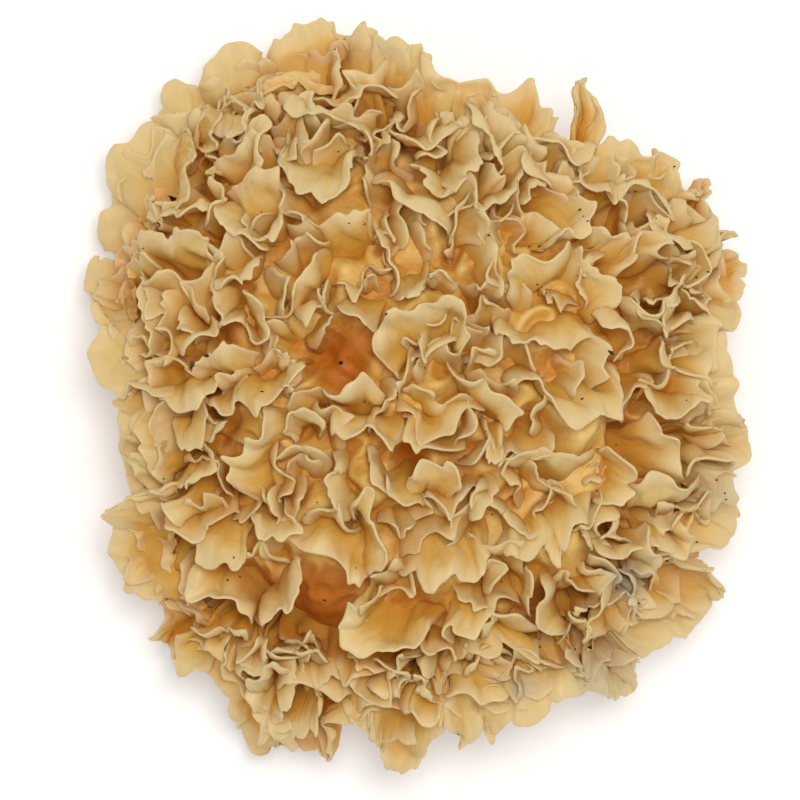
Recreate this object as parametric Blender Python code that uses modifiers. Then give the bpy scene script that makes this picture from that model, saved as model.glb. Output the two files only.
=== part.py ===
"""A head of dried snow fungus: thin ruffled fronds grown together on one foot, which is cut off flat.

Metres, +Z up. The origin is the middle of the flat cut that the head rests on. +Y is the top of the
photograph and +X its right-hand side, and the photograph looks straight down.
"""

import math
import random
from typing import NamedTuple

import bmesh
import bpy
from mathutils import Vector

MM = 0.001

# The whole head, in millimetres: 100 across by 112 long, 50 high.
HALF_WIDTH = 52.0
HALF_LENGTH = 58.0
HEIGHT = 50.0
SHOULDER_HEIGHT = 13.0

# The solid foot in the middle, where every frond starts.
FOOT_RADIUS = 15.0
FOOT_NECK_RADIUS = 18.0
FOOT_NECK_HEIGHT = 8.0

# The tissue that the fronds are grown together in: how far below the dome its top lies, and its side and
# underside as (share of the dome's reach, height), down to the foot.
HEART_BELOW_DOME = 6.5
HEART_CROWN_SHARES = (0.0, 0.2, 0.4, 0.55, 0.65, 0.73, 0.78)
HEART_FLANK = [(0.80, 19.0), (0.78, 15.0), (0.69, 10.5), (0.57, 7.5), (0.44, 5.6), (0.30, 4.4)]
GROWTH_CENTRE = Vector((0.0, 0.0, 8.0))
ROOT_REACH = 15.0

# A frond's sheet.
FROND_THICKNESS = 1.9
RIM_STEP = 1.6
ROWS = 9
KNEE_SPREAD = 0.72
ROOT_SPREAD = 0.3
RUFFLE_FADE = 1.7

# How finely the grown-together solid is resolved, and how many triangles it keeps.
VOXEL = 0.85
TRIANGLES = 9400
MENDING_ROUNDS = 6

FUNGUS_COLOUR = (0.60, 0.42, 0.19, 1.0)


class Frond(NamedTuple):
    """One frond. rim: its free edge, as (x, y, depth below the dome). lean: from the middle of the rim to the
    bend where the frond turns down to the foot, with its rise or fall against the dome's."""

    rim: list
    lean: tuple


# Fronds of the outline, clockwise from the left-hand side.
OUTLINE_FRONDS = [
    Frond([(-41, 0, 2), (-44, 0.6, 2), (-47.6, 0.6, 2), (-49, 3.3, 2), (-48.9, 8, 2), (-49.2, 13, 2),
           (-49.8, 18, 2), (-49.4, 22, 2)], (10, -2, -3)),
    Frond([(-48.5, 22.5, 4), (-49.3, 26.5, 4), (-47.7, 29.3, 4), (-47.3, 31.5, 5)], (10, -3, -2)),
    Frond([(-46.8, 30.5, 3), (-48.3, 34.5, 2), (-46.8, 37.3, 2), (-43.5, 40.5, 2), (-40.5, 41.6, 2),
           (-37.8, 41, 3)], (7, -8, -3)),
    Frond([(-37.8, 41.5, 5), (-39.2, 44, 4), (-39, 47.5, 4), (-37.9, 49.8, 4), (-36.3, 47.8, 4),
           (-34.2, 46.2, 5)], (3, -9, -1)),
    Frond([(-33.8, 46.5, 4), (-33.6, 50.2, 3), (-31.4, 52.8, 2), (-28.8, 53.6, 2), (-25.8, 52.7, 3),
           (-24.2, 52.6, 4)], (3, -9, -2)),
    Frond([(-24.2, 52.4, 4), (-23.4, 55.8, 3), (-19, 56.3, 2), (-14, 56.4, 2), (-9.3, 56, 2), (-7.2, 54.6, 2),
           (-5.8, 52.6, 4)], (1, -10, -2)),
    Frond([(-6.2, 52.4, 5), (-3, 51.6, 3), (-0.7, 50.2, 3), (1.4, 49, 3), (3.6, 47.6, 3), (6, 46.6, 4)],
          (-2, -9, -2)),
    Frond([(4.5, 46.8, 4), (9, 47.4, 2), (13.5, 47.2, 2), (15.6, 48, 2), (16.5, 46.6, 3), (18.6, 44.8, 3),
           (20, 42.6, 3), (22.4, 41.4, 4)], (-3, -9, -2)),
    Frond([(23.4, 41, 5), (23.6, 45, 4), (24.2, 48, 3), (25, 48.2, 3), (25.7, 46.2, 3), (25.9, 42.5, 4),
           (26.4, 39.5, 5)], (-1, -10, 0)),
    Frond([(26.8, 38.7, 4), (29.5, 37.3, 3), (34, 37.6, 2), (36.5, 36.6, 2), (38.7, 34.5, 2), (39, 31.8, 3),
           (41, 30.6, 5)], (-7, -7, -2)),
    Frond([(40.2, 30.8, 5), (42.2, 31.9, 4), (43, 33, 3), (43.8, 31.8, 3), (42.9, 28, 3), (42.5, 25.2, 4),
           (44.3, 23.6, 5)], (-8, -5, -1)),
    Frond([(43.6, 23.8, 5), (45.2, 24.4, 4), (46.5, 24.9, 3), (45.6, 22.7, 4), (44.4, 20.6, 6)], (-7, -3, -2)),
    Frond([(44.4, 20.8, 5), (47.8, 22.1, 3), (50, 20.4, 2), (49.2, 16.5, 2), (47, 12, 2), (44.8, 9.6, 3)],
          (-9, -2, -2)),
    Frond([(44.6, 9.8, 5), (45.4, 7.8, 3), (45.6, 5, 3), (46.1, 1.5, 3), (46.4, -2.5, 3), (46.6, -4.2, 4)],
          (-9, 0, -2)),
    Frond([(45.8, -3, 4), (48.8, -5.3, 3), (49.8, -7.5, 2), (48.4, -9.8, 2), (45.6, -11.2, 4)], (-9, 1, -2)),
    Frond([(45.8, -11, 4), (47.6, -14, 2), (48, -18, 2), (46.2, -22, 2), (43, -23.8, 2), (40.8, -24.2, 4)],
          (-8, 4, -2)),
    Frond([(40.4, -24.4, 4), (42, -26.8, 3), (44.8, -28.8, 3), (46.2, -30.2, 2), (45, -32.2, 3),
           (42.2, -33, 3), (41, -34.8, 3), (38, -36.9, 3), (34.5, -38.8, 3), (32.6, -39.6, 4)], (-9, 7, -1)),
    Frond([(32.2, -39.4, 5), (32.6, -43.5, 3), (31.2, -45.6, 3), (29.3, -46.2, 3), (27, -44.8, 3),
           (25, -42.2, 5)], (-2, 9, -1)),
    Frond([(25.2, -42.2, 4), (22, -44.8, 3), (19, -45.7, 3), (16, -47.6, 2), (12, -50.5, 2), (10.2, -52, 2),
           (8.6, -49, 4)], (-3, 9, -1)),
    Frond([(8.8, -48.8, 4), (7.2, -50.2, 3), (6, -52.5, 2), (5, -51.8, 3), (3.5, -49.4, 4)], (-1, 8, -1)),
    Frond([(3.8, -49.2, 4), (1, -51.7, 3), (-1.2, -55, 2), (-4, -56.7, 2), (-6.3, -55, 3), (-7, -52.8, 3),
           (-6.9, -50, 4)], (0, 10, -2)),
    Frond([(-6.8, -50.4, 4), (-9, -48.9, 4), (-11, -48.8, 4), (-13.2, -49.8, 4)], (0, 9, -2)),
    Frond([(-12.8, -49.8, 5), (-13.9, -52.9, 4), (-16.9, -54.7, 4), (-20.6, -54.1, 4), (-22.2, -52, 5)], (2, 9, -1)),
    Frond([(-22.4, -52.2, 5), (-24.6, -53, 4), (-27, -50, 4), (-29.5, -46.5, 3), (-31.4, -43.8, 3),
           (-33.2, -41.4, 4)], (8, 6, 0)),
    Frond([(-31.8, -41.2, 4), (-35, -41.2, 2), (-37, -39.6, 2), (-37, -37, 4)], (5, 7, -3)),
    Frond([(-36.6, -38.8, 6), (-39.3, -38, 5), (-40.2, -35.5, 5), (-39.6, -32.6, 6)], (7, 5, -1)),
    Frond([(-40.2, -33.4, 3), (-42.2, -30.7, 2), (-44.9, -27.2, 2), (-46.9, -23.5, 1), (-47.2, -20, 1),
           (-45.8, -15.4, 2), (-42.6, -13, 3), (-39.3, -13.4, 3)], (9, 3, -3)),
    Frond([(-44, -14.2, 6), (-44.8, -9, 6), (-46, -3, 5), (-48, 0.6, 4)], (10, 1, 0)),
]

# Fronds of the upper part of the photograph.
UPPER_FRONDS = [
    Frond([(-20.5, 40, 3), (-20.8, 36.5, 2), (-19.8, 33.5, 1), (-17.5, 31, 0), (-15, 30, 0), (-13, 30.7, 0),
           (-10.5, 34, 1), (-9.5, 38, 2)], (0.5, 6, -3)),
    Frond([(-29.5, 39.5, 3), (-28.3, 39.2, 2.5), (-26.5, 40.8, 2), (-24.5, 41, 1), (-23.6, 39.5, 0.5),
           (-24, 36, 0.5), (-24, 33.8, 1)], (-4.5, -2.5, -4)),
    Frond([(-29.5, 31, 3), (-26.5, 33.3, 2), (-23.8, 33.9, 1), (-20.5, 33, 1), (-19.3, 31.5, 2)], (0, -6, -3)),
    Frond([(-30.4, 28.4, 2), (-30, 26, 1), (-28.5, 24, 0.5), (-26, 22.3, 0), (-23.8, 21, 0), (-22.6, 22, 1)],
          (2, 6, -4)),
    Frond([(-24.6, 26, 2), (-23.8, 22.8, 0.5), (-21.5, 23.5, -0.5), (-20.6, 26, 0), (-21.2, 28.6, 1)],
          (-1, 1.5, -6)),
    Frond([(-23.8, 20.6, 2), (-24, 18, 0), (-25, 16.2, 0), (-27.2, 15.4, 0), (-30, 15.8, 1), (-33, 17, 2)],
          (-1.5, 5, -4)),
    Frond([(-20.3, 26.8, 2), (-17, 27, 1.5), (-12.5, 27.9, 1), (-9, 27.4, 1), (-7.6, 28.3, 1), (-7.5, 25.3, 2)],
          (0, -6, -4)),
    Frond([(-15.7, 23, 1), (-17.8, 19.5, 0), (-19.3, 15.5, 0), (-21, 12.6, 0.5), (-23.5, 11.8, 1)], (3, 0, -7)),
    Frond([(-20, 13.4, 3), (-19, 11.5, 1), (-16.8, 11.2, 0.5), (-15, 12.5, 1), (-14.3, 15.5, 1.5),
           (-14.6, 18.8, 2)], (-1.5, 5, -4)),
    Frond([(-13.2, 14, 2), (-10.3, 13, 1), (-8.3, 11.8, 1), (-6.2, 11.2, 1.5)], (1.5, 6, -3)),
    Frond([(-7.2, 24.6, 1), (-6, 21, 0.5), (-4.2, 18, 1), (-4.8, 15.8, 2)], (4.5, 2.5, -5)),
    Frond([(-4.6, 16.8, 2), (-2, 15.6, 0.5), (0.5, 15.9, 0.5), (1.4, 17.4, 2)], (0, 5.5, -4)),
    Frond([(1.5, 17.2, 2), (2.8, 18.4, 1), (4.8, 17.8, 0.5), (5.8, 15.8, 1.5)], (-0.5, -3.5, -5)),
    Frond([(-6.6, 33, 2), (-5, 30.6, 1), (-4.2, 28.9, 0.5), (-2, 28, 0), (0.5, 27.2, 0), (3, 26.4, 0.5),
           (5.4, 26, 2)], (1.5, 6, -3)),
    Frond([(6.4, 34.2, 2), (8.9, 31.7, 0.5), (9.8, 29.6, 0), (9.9, 27, 0), (10, 24.4, 1), (9, 22, 2.5)],
          (-6, 1, -3)),
    Frond([(6.6, 44.5, 2), (6.7, 41, 1.5), (9, 38, 1), (12, 34.8, 1), (12.8, 32.5, 1.5), (11, 30.5, 3)],
          (4, 2.5, -5)),
    Frond([(-12.5, 42.5, 2), (-9.5, 41, 1), (-8.2, 37.5, 1), (-9, 34.6, 2)], (5, 2.5, -4)),
    Frond([(-5, 40, 2), (-2, 38.6, 1), (2, 38.2, 1), (5, 39.5, 2)], (0, 5.5, -4)),
    Frond([(-22.5, 44, 2), (-19, 42.3, 1), (-16.5, 41.2, 0.5), (-13.5, 40.8, 0.5), (-11.3, 42, 2)], (0, 6, -4)),
    Frond([(-16.8, 45, 2), (-14.8, 46.6, 1), (-11.8, 45.4, 1), (-8, 46.5, 1), (-4, 45, 2)], (1, 5, -4)),
    Frond([(-33.6, 41.8, 2), (-31, 40.5, 1.5), (-29, 39.8, 1), (-27, 41.4, 1.5), (-25, 42.6, 2.5)], (1, 6, -4)),
    Frond([(-36, 39, 2), (-34.6, 35, 0.5), (-34.8, 31.5, 0.5), (-36.4, 28.3, 2)], (-6, 1, -4)),
    Frond([(-41, 27, 2), (-37, 28.2, 1), (-33.5, 27.6, 1), (-30.6, 26.8, 2)], (0, 4.5, -5)),
    Frond([(-45.5, 23, 2), (-41, 25, 1), (-36, 24.8, 0.5), (-32.5, 23.3, 0.5), (-30.4, 20.6, 2)], (-1, -6, -4)),
    Frond([(19.3, 31, 2), (22.5, 30.8, 0.5), (24.3, 28.8, 0), (24.9, 26.3, 0), (24, 24.8, 0.5), (20, 22.9, 1),
           (17.2, 22.6, 2)], (-5.5, 0.5, -5)),
    Frond([(11.6, 16, 3), (12.3, 19.8, 1), (14, 21.6, 0.5), (18.4, 21.6, 0.5), (20.5, 21, 2)], (2.5, -6, -4)),
    Frond([(23.5, 25.6, 3), (28, 25.2, 1), (33.3, 24.7, 1), (31.8, 22.3, 0.5), (31, 20.6, 1), (29.8, 18.5, 3)],
          (-3, -3.5, -5)),
    Frond([(22.4, 22.6, 2), (25.5, 20.8, 0.5), (28, 18.6, 0.5), (29.2, 16, 1), (28, 12.6, 2)], (-5.5, -4, -5)),
    Frond([(28.6, 14.8, 2), (31, 14, 1), (33.5, 13.9, 1), (36, 15.2, 0.5), (37.2, 17, 1), (38.6, 19, 2)],
          (3.5, -6, -4)),
    Frond([(14.5, 41, 2), (17, 38.6, 1), (20, 38.4, 1), (22.5, 36, 1), (25.5, 36.4, 2)], (0, 5, -4)),
    Frond([(14.8, 36, 2), (16.2, 33, 1), (19.5, 32.4, 2)], (3.5, 5, -5)),
    Frond([(26, 31, 2), (29.5, 29.6, 1), (33, 30.8, 1), (36, 29.4, 1), (38.5, 27, 2)], (1, 5, -4)),
    Frond([(38.2, 24, 2), (41, 22, 1), (42.6, 19.2, 0.5), (41.2, 16.6, 1), (38.8, 15.6, 2)], (3, 1.5, -5)),
]

# Fronds of the middle of the photograph.
MIDDLE_FRONDS = [
    Frond([(-4, 3.4, 3), (-6, 7, 2), (-6.2, 10.4, 1.5), (-3.8, 13.3, 1), (-0.4, 13.6, 1.5), (5, 15, 0),
           (6.5, 10.5, 0), (6.2, 5.6, 1.5)], (0.2, -7.5, -6)),
    Frond([(-3.8, -2.4, 3), (-1, -5.5, 2), (0.5, -7.5, 1), (2.5, -5.6, 1.5), (5, -4, 2), (9, -2.7, 3)],
          (0.5, 6.5, -4)),
    Frond([(5, 4, 2), (7, 1.6, 1), (10.5, 0.2, 0), (13, -0.8, 0.5), (15.2, -3.8, 1), (13.4, -5.2, 2)],
          (-2.5, -2.5, -5)),
    Frond([(8.6, -5.2, 3), (9.2, -8.5, 1.5), (10.6, -10.6, 0.5), (12.3, -9, 1), (12.9, -6, 2)], (0, 4.5, -4)),
    Frond([(-3, -12.8, 2.5), (-1.3, -10.3, 1), (0, -9, 1), (1.3, -9.3, 1), (2.3, -10.2, 1.5), (3.3, -9.7, 1),
           (4.6, -11.5, 1), (5.2, -14.4, 2)], (0, -5.5, -4)),
    Frond([(9.4, 11.6, 2), (10.2, 8.4, 0), (13.5, 7.8, 1), (18, 8, 0.5), (22.5, 7.9, 1), (25.4, 9, 2)],
          (1.5, 5.5, -3)),
    Frond([(7, 3.8, 2.5), (6.9, 6.8, 1), (8.6, 8.2, 0), (10.4, 6.6, 1.5)], (2.5, -3.5, -5)),
    Frond([(10.8, 1.4, 3), (15, 1.8, 1), (17.5, 2.2, 0.5), (19.6, -1.3, 0), (22, -3.2, 0), (26, -2.6, 0),
           (29.3, -3, 0.5), (29.8, 0, 1), (29.2, 3.4, 2.5)], (-1, 6, -4)),
    Frond([(25.5, 12.5, 2), (28.5, 10.4, 0.5), (30, 7.6, 0.5), (28.8, 5, 2)], (3, 2.5, -5)),
    Frond([(36.2, 9.8, 2), (35.5, 7.4, 0.5), (37.4, 4.6, 0.5), (41, 3.8, 1), (45, 2.8, 2.5)], (-1.5, -3.5, -5)),
    Frond([(31, 0.6, 2), (33.5, 0, 1), (36.5, -1, 0.5), (39, -1.8, 0.5), (42, -1.5, 1), (44.6, -2.6, 2.5)],
          (0, 4, -4)),
    Frond([(33.6, -3.8, 2), (36.4, -6.6, 0.5), (38.3, -9.8, 1), (39, -12, 2)], (-5, -2, -6)),
    Frond([(39.4, -11.4, 2.5), (41, -10.2, 1), (44, -9.2, 1), (46.6, -9.8, 3)], (0.5, 4, -4)),
    Frond([(31.6, -13.6, 2.5), (34, -12.2, 1), (37, -12.4, 1), (40.6, -13.2, 2.5)], (0.5, -8, -4)),
    Frond([(13.2, -10.4, 2.5), (14.6, -7.9, 1), (17, -7.3, 1), (18, -6.2, 0.5), (19.6, -8, 1), (22, -7.8, 1),
           (24.6, -8.2, 2)], (0.5, -7.5, -4)),
    Frond([(10.8, -22, 3), (13, -23.5, 0.5), (15, -24.8, 0), (17, -24.4, 0), (18, -22.2, 1), (19, -24, 0.5),
           (20.7, -25.2, 0), (22, -22, 0.5), (23.2, -18.5, 1), (24.6, -14.5, 3)], (0, 8.5, -3)),
    Frond([(25.7, -8.8, 2.5), (28, -8, 1), (30.2, -10, 0.5), (31.5, -12.8, 1), (30.2, -15.2, 1),
           (26.4, -17, 2.5)], (-3.5, 0.5, -6)),
    Frond([(24.9, -18.6, 2.5), (25.6, -21, 1), (27, -23.8, 1), (28.2, -22, 3)], (-1, 4, -4)),
    Frond([(-4.6, -24.6, 3), (-1.5, -25.7, 1), (0.3, -28.3, 0), (3, -29, 0), (5, -27.7, 0.5), (7, -28, 0.5),
           (8.6, -25.2, 1), (10, -22, 3)], (0, 9, -3)),
    Frond([(-10.4, -18.5, 2), (-9.8, -15.2, 0), (-8.4, -14.8, 0), (-6.3, -18.5, -1), (-5.2, -22.5, -1),
           (-5.8, -25.6, 0), (-7.4, -27.2, 2)], (-4.5, -1, -6)),
    Frond([(-20.2, -21.4, 2), (-15, -23.3, 0.5), (-12.2, -25, 0.5), (-11, -27, 0.5), (-9, -27.6, 1),
           (-7, -28, 2)], (2, 7, -4)),
    Frond([(-26.4, -17.6, 1.5), (-26, -20, 0), (-23.5, -21.5, -1), (-20.3, -20.8, -1), (-18, -20.2, 0),
           (-18.6, -17.6, 1), (-20, -15.4, 2.5)], (0.5, 2, -7)),
    Frond([(-22.6, -0.6, 2), (-24, -4.3, 0), (-27, -7, 0), (-29.2, -10, 0), (-28.8, -13.5, 0),
           (-26.4, -16.6, 1.5)], (6, -1.5, -5)),
    Frond([(-19.5, -7.8, 2.5), (-20.9, -5, 0.5), (-19.8, -2.5, 0), (-17.2, -1.7, 0.5), (-15.3, -3.6, 1),
           (-15.2, -5.8, 2.5)], (0.5, -1.5, -6)),
    Frond([(-13.8, -4.6, 2.5), (-12.6, -6.8, 1), (-10.5, -6.9, 0.5), (-8.6, -5.4, 1), (-6, -7, 1), (-4, -8, 1),
           (-2.6, -6, 2.5)], (0.5, 5.5, -4)),
    Frond([(-13.4, -7.6, 2), (-13, -10.5, 0.5), (-15, -13.2, 0), (-13.3, -16.5, 0), (-11.3, -18.8, 1.5)],
          (3, 1.5, -5)),
    Frond([(-8.9, -9.2, 2), (-8.3, -13, 1.5), (-5.3, -14.6, 1.5), (-3.4, -13.6, 3)], (1.5, 3.5, -5)),
    Frond([(-33.2, -2.4, 3), (-31, -3.9, 1), (-29.6, -3.3, 0.5), (-30, -5, 1), (-32, -7, 2), (-32.6, -9.4, 3)],
          (-3, 0, -6)),
    Frond([(-33.2, -0.8, 2), (-33.3, -4, 0.5), (-34, -7, 0.5), (-34.8, -9.4, 1), (-36, -8, 1), (-36.4, -5.2, 3)],
          (-1, 4, -5)),
    Frond([(-37.2, 4, 2.5), (-34.5, 4.8, 1.5), (-32.5, 6.2, 1), (-30, 7.3, 0.5), (-27, 7.7, 0.5),
           (-24.6, 6.8, 2)], (0, -5, -4)),
    Frond([(-40.3, -0.4, 2), (-37, -0.9, 1), (-33.8, -0.3, 1), (-31, 1.2, 1), (-29.8, 3, 2)], (-0.5, 4.5, -5)),
    Frond([(-27, 14.4, 2), (-25, 14, 0), (-23.5, 12, 0), (-22.8, 9.5, 0), (-24, 7.4, 0.5), (-25.8, 8.5, 1),
           (-27, 10.8, 3)], (-0.5, 0.5, -7)),
    Frond([(-26.9, 1, 2), (-26, -0.8, 0.5), (-24.6, -0.6, 0.5), (-23, 0.8, 1), (-20, 1.8, 1), (-17.4, 2.6, 3)],
          (0.5, 4.5, -4)),
    Frond([(-31.2, 12.4, 2), (-32.3, 10, 1), (-34, 8.6, 1), (-36.3, 7.3, 1.5), (-37.2, 5.8, 3)], (-4.5, 5, -4)),
    Frond([(-41, 16.4, 2), (-39, 18.8, 0.5), (-36, 18.5, 0.5), (-34, 16, 1), (-32.8, 13.2, 2)], (-2, -5, -5)),
    Frond([(-42, 4.8, 3), (-40.8, 9, 1), (-41.5, 13.5, 1), (-43, 18.5, 3)], (5, 0, -5)),
    Frond([(-42.6, -1.8, 3), (-43.3, -5, 2), (-41.8, -7.8, 2), (-40.8, -10.2, 2), (-39.8, -12.8, 4)],
          (6, 2, -4)),
    Frond([(-15.5, -0.6, 3), (-12.5, 1.6, 1.5), (-9.6, 2.6, 1.5), (-6.8, 0.9, 2)], (0.5, -4.5, -4)),
]

# Fronds of the lower part of the photograph.
LOWER_FRONDS = [
    Frond([(-8, -29.2, 2), (-10.8, -31.3, 0), (-10.3, -34, 0.5), (-10.8, -35.3, 0), (-9.6, -37.6, 0),
           (-8, -39.3, 0), (-4.5, -37.6, 1), (0, -35.2, 2), (2, -34.4, 3.5)], (5, 3.5, -5)),
    Frond([(3.3, -37.8, 3), (2.8, -36, 1.5), (3.6, -34.4, 1), (5, -33.6, 0), (6.5, -35, 0), (9, -35, 0),
           (10.3, -33.8, 0.5), (10.8, -31.8, 1), (12.4, -30.4, 1.5), (14.4, -31.6, 3)], (0, 6, -4)),
    Frond([(15, -25.6, 3), (17, -26.3, 1), (17, -29, 1), (16, -31.6, 2.5)], (-4.5, 1.5, -5)),
    Frond([(3, -40.2, 3), (8, -39.3, 1.5), (13, -38.7, 1.5), (16, -38.4, 1), (16.4, -36.4, 2.5)], (-3, 4.5, -4)),
    Frond([(-0.8, -45.4, 2.5), (-0.2, -47.5, 1), (1.5, -49, 0), (3.2, -48.2, 0.5), (4.2, -45.8, 2.5)],
          (0, 3.5, -5)),
    Frond([(-2.8, -43.4, 3), (-2, -40.6, 1), (-0.3, -40.6, 1), (0.9, -43, 1), (4.5, -44.6, 2)], (-1, -4.5, -5)),
    Frond([(4.2, -44.6, 3), (8, -45.2, 1), (11.5, -46.7, 1), (14, -45.2, 1.5), (18, -43.6, 3)], (0.5, 4, -4)),
    Frond([(-17.8, -43.4, 3), (-16.5, -45.5, 1.5), (-15, -46.9, 1), (-13.3, -46.2, 1), (-11.8, -44.8, 3)],
          (0, 3.5, -4)),
    Frond([(-26.6, -43.6, 3), (-26.3, -46.5, 1), (-25, -48.8, 1), (-23.5, -50.8, 1), (-21.5, -52.2, 1),
           (-19.5, -52.4, 1), (-17.3, -51.2, 1), (-16.5, -49.4, 1), (-17.2, -46.6, 2)], (0.8, 5.5, -5)),
    Frond([(-34.2, -26, 2.5), (-33.7, -29.4, 1), (-30.5, -29.9, 0.5), (-28.5, -32, 0.5), (-26.4, -34.1, 1.5)],
          (3, 2.5, -7)),
    Frond([(-24.8, -35, 2), (-23.3, -32.6, 1), (-21.3, -31.5, 1), (-20, -29.5, 1), (-18.6, -27.3, 1.5),
           (-18.2, -24.6, 3)], (-3.5, 2.5, -7)),
    Frond([(-25.2, -35.6, 3), (-23.6, -37.6, 2.5), (-20.5, -39.2, 3), (-16.5, -40.2, 3), (-13.5, -40, 3.5)],
          (1, -4.5, -5)),
    Frond([(-35.2, -18.4, 3), (-34.8, -21.9, 2), (-33.3, -23.9, 1), (-30.6, -24.9, 0.5), (-28.5, -25.7, 0),
           (-27.1, -24.6, 0.5), (-26, -22.8, 1.5)], (1.5, 5.5, -4)),
    Frond([(-36.4, -14.6, 2.5), (-37.6, -15.4, 1), (-36.6, -17.6, 1), (-35, -17.8, 2.5)], (2.5, 2.5, -4)),
    Frond([(27.6, -27, 3), (26.4, -30, 1), (26.2, -32, 1), (24.2, -33.5, 1), (24.6, -35.8, 1.5),
           (27.4, -37, 2.5)], (6, -0.5, -4)),
    Frond([(28.6, -25, 3), (31, -26, 1), (32.2, -28.6, 1), (31, -31.5, 1), (33.5, -33, 1.5), (36.4, -32.6, 3)],
          (4.5, 2.5, -4)),
    Frond([(20, -37.2, 3), (22.4, -38.4, 1), (24.8, -41, 1.5), (26.4, -42.2, 3)], (-3.5, 2, -4)),
    Frond([(-34.6, -37.8, 3), (-32.6, -38.4, 1.5), (-30.4, -41, 1.5), (-27.4, -41.8, 2.5)], (2.5, 4.5, -4)),
    Frond([(-9.6, -43, 3), (-6.6, -45.4, 1.5), (-4, -46, 2), (-2.8, -44.6, 3.5)], (0.5, 4.5, -4)),
    Frond([(32.5, -21.8, 2), (35, -22.4, 1), (37.4, -24.8, 1), (40, -24.4, 2.5)], (0.5, 4.5, -4)),
]


class Tier(NamedTuple):
    """A ring of fronds below the outline, which the photograph doesn't reach: how many, their middle height,
    how far out their rims come as a share of the outline, the share of the ring that each one covers, and
    how far its rim waves up and down."""

    count: int
    height: float
    reach: float
    cover: float
    wave: float


UNDER_TIERS = [
    Tier(17, 15.0, 0.93, 1.25, 3.2),
    Tier(15, 10.0, 0.88, 1.20, 2.8),
    Tier(13, 6.0, 0.76, 1.10, 2.2),
    Tier(10, 4.8, 0.56, 1.05, 1.2),
]
UNDER_SEED = 11
UNDER_RIM_POINTS = 7
UNDER_LEAN = 11.0
LOWEST_FROND = 3.2
OUTLINE_WINDOW = 0.16

# Small fronds deep between the large ones.
INNER_COUNT = 54
INNER_SEED = 23
INNER_REACH = 0.76
INNER_RIM_POINTS = 5
INNER_LENGTH = 12.0
INNER_DEPTH = 4.0


def clear_scene():
    """Removes whatever the file opened with."""
    for obj in list(bpy.data.objects):
        bpy.data.objects.remove(obj)


def dome_height(x, y):
    """Height of the dome that the rims of the fronds follow, above the cut."""
    reach = math.hypot(x / HALF_WIDTH, y / HALF_LENGTH)
    return SHOULDER_HEIGHT + (HEIGHT - SHOULDER_HEIGHT) * math.sqrt(max(0.0, 1.0 - reach * reach))


def smooth_curve(points, step):
    """Points about one step apart on a smooth curve through the given ones."""
    ends = [points[0] * 2 - points[1]] + list(points) + [points[-1] * 2 - points[-2]]
    found = []
    for before, start, end, after in zip(ends, ends[1:], ends[2:], ends[3:]):
        pieces = max(1, round((end - start).length / step))
        for i in range(pieces):
            t = i / pieces
            found.append(0.5 * (2 * start + (end - before) * t
                                + (2 * before - 5 * start + 4 * end - after) * t ** 2
                                + (3 * start - before - 3 * end + after) * t ** 3))
    found.append(points[-1].copy())
    return found


def frond_sheet(name, rim, lean):
    """An open sheet from the foot up to the bend and out to the rim, which is a list of points."""
    edge = smooth_curve(rim, RIM_STEP)
    last = len(edge) - 1
    middle = sum(edge, Vector()) / len(edge)
    knee = middle + lean
    outward = knee - GROWTH_CENTRE
    root = GROWTH_CENTRE + outward * (ROOT_REACH / outward.length)
    rows = ROWS - 1
    mesh = bpy.data.meshes.new(name)
    sheet = bmesh.new()
    bmesh.ops.create_grid(sheet, x_segments=last, y_segments=rows, size=0.5)
    for vertex in sheet.verts:
        across = round((vertex.co.x + 0.5) * last)
        up = vertex.co.y + 0.5
        chord = edge[0].lerp(edge[last], across / last)
        along = chord - middle
        fold = (edge[across] - chord) * up ** RUFFLE_FADE
        low = root + along * ROOT_SPREAD
        bend = knee + along * KNEE_SPREAD
        high = middle + along
        curve = low * (1 - up) ** 2 + bend * (2 * up * (1 - up)) + high * up ** 2
        vertex.co = (curve + fold) * MM
    sheet.to_mesh(mesh)
    sheet.free()
    return mesh


def thickened(name, mesh, collection):
    """A frond with its thickness, as an object of its own."""
    obj = bpy.data.objects.new(name, mesh)
    collection.objects.link(obj)
    wall = obj.modifiers.new("thickness", "SOLIDIFY")
    wall.thickness = FROND_THICKNESS * MM
    wall.offset = 0.0
    wall.use_even_offset = False
    return obj


def dome_rise(rim, lean):
    """How much the dome rises from the middle of a rim to above its bend."""
    middle = sum(rim, Vector()) / len(rim)
    return dome_height(middle.x + lean.x, middle.y + lean.y) - dome_height(middle.x, middle.y)


def photographed_fronds():
    """(rim, lean) of each frond read off the photograph, with the dome's height put in."""
    for frond in OUTLINE_FRONDS + UPPER_FRONDS + MIDDLE_FRONDS + LOWER_FRONDS:
        rim = [Vector((x, y, dome_height(x, y) - depth)) for x, y, depth in frond.rim]
        lean = Vector(frond.lean)
        lean.z += dome_rise(rim, lean)
        yield rim, lean


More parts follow.
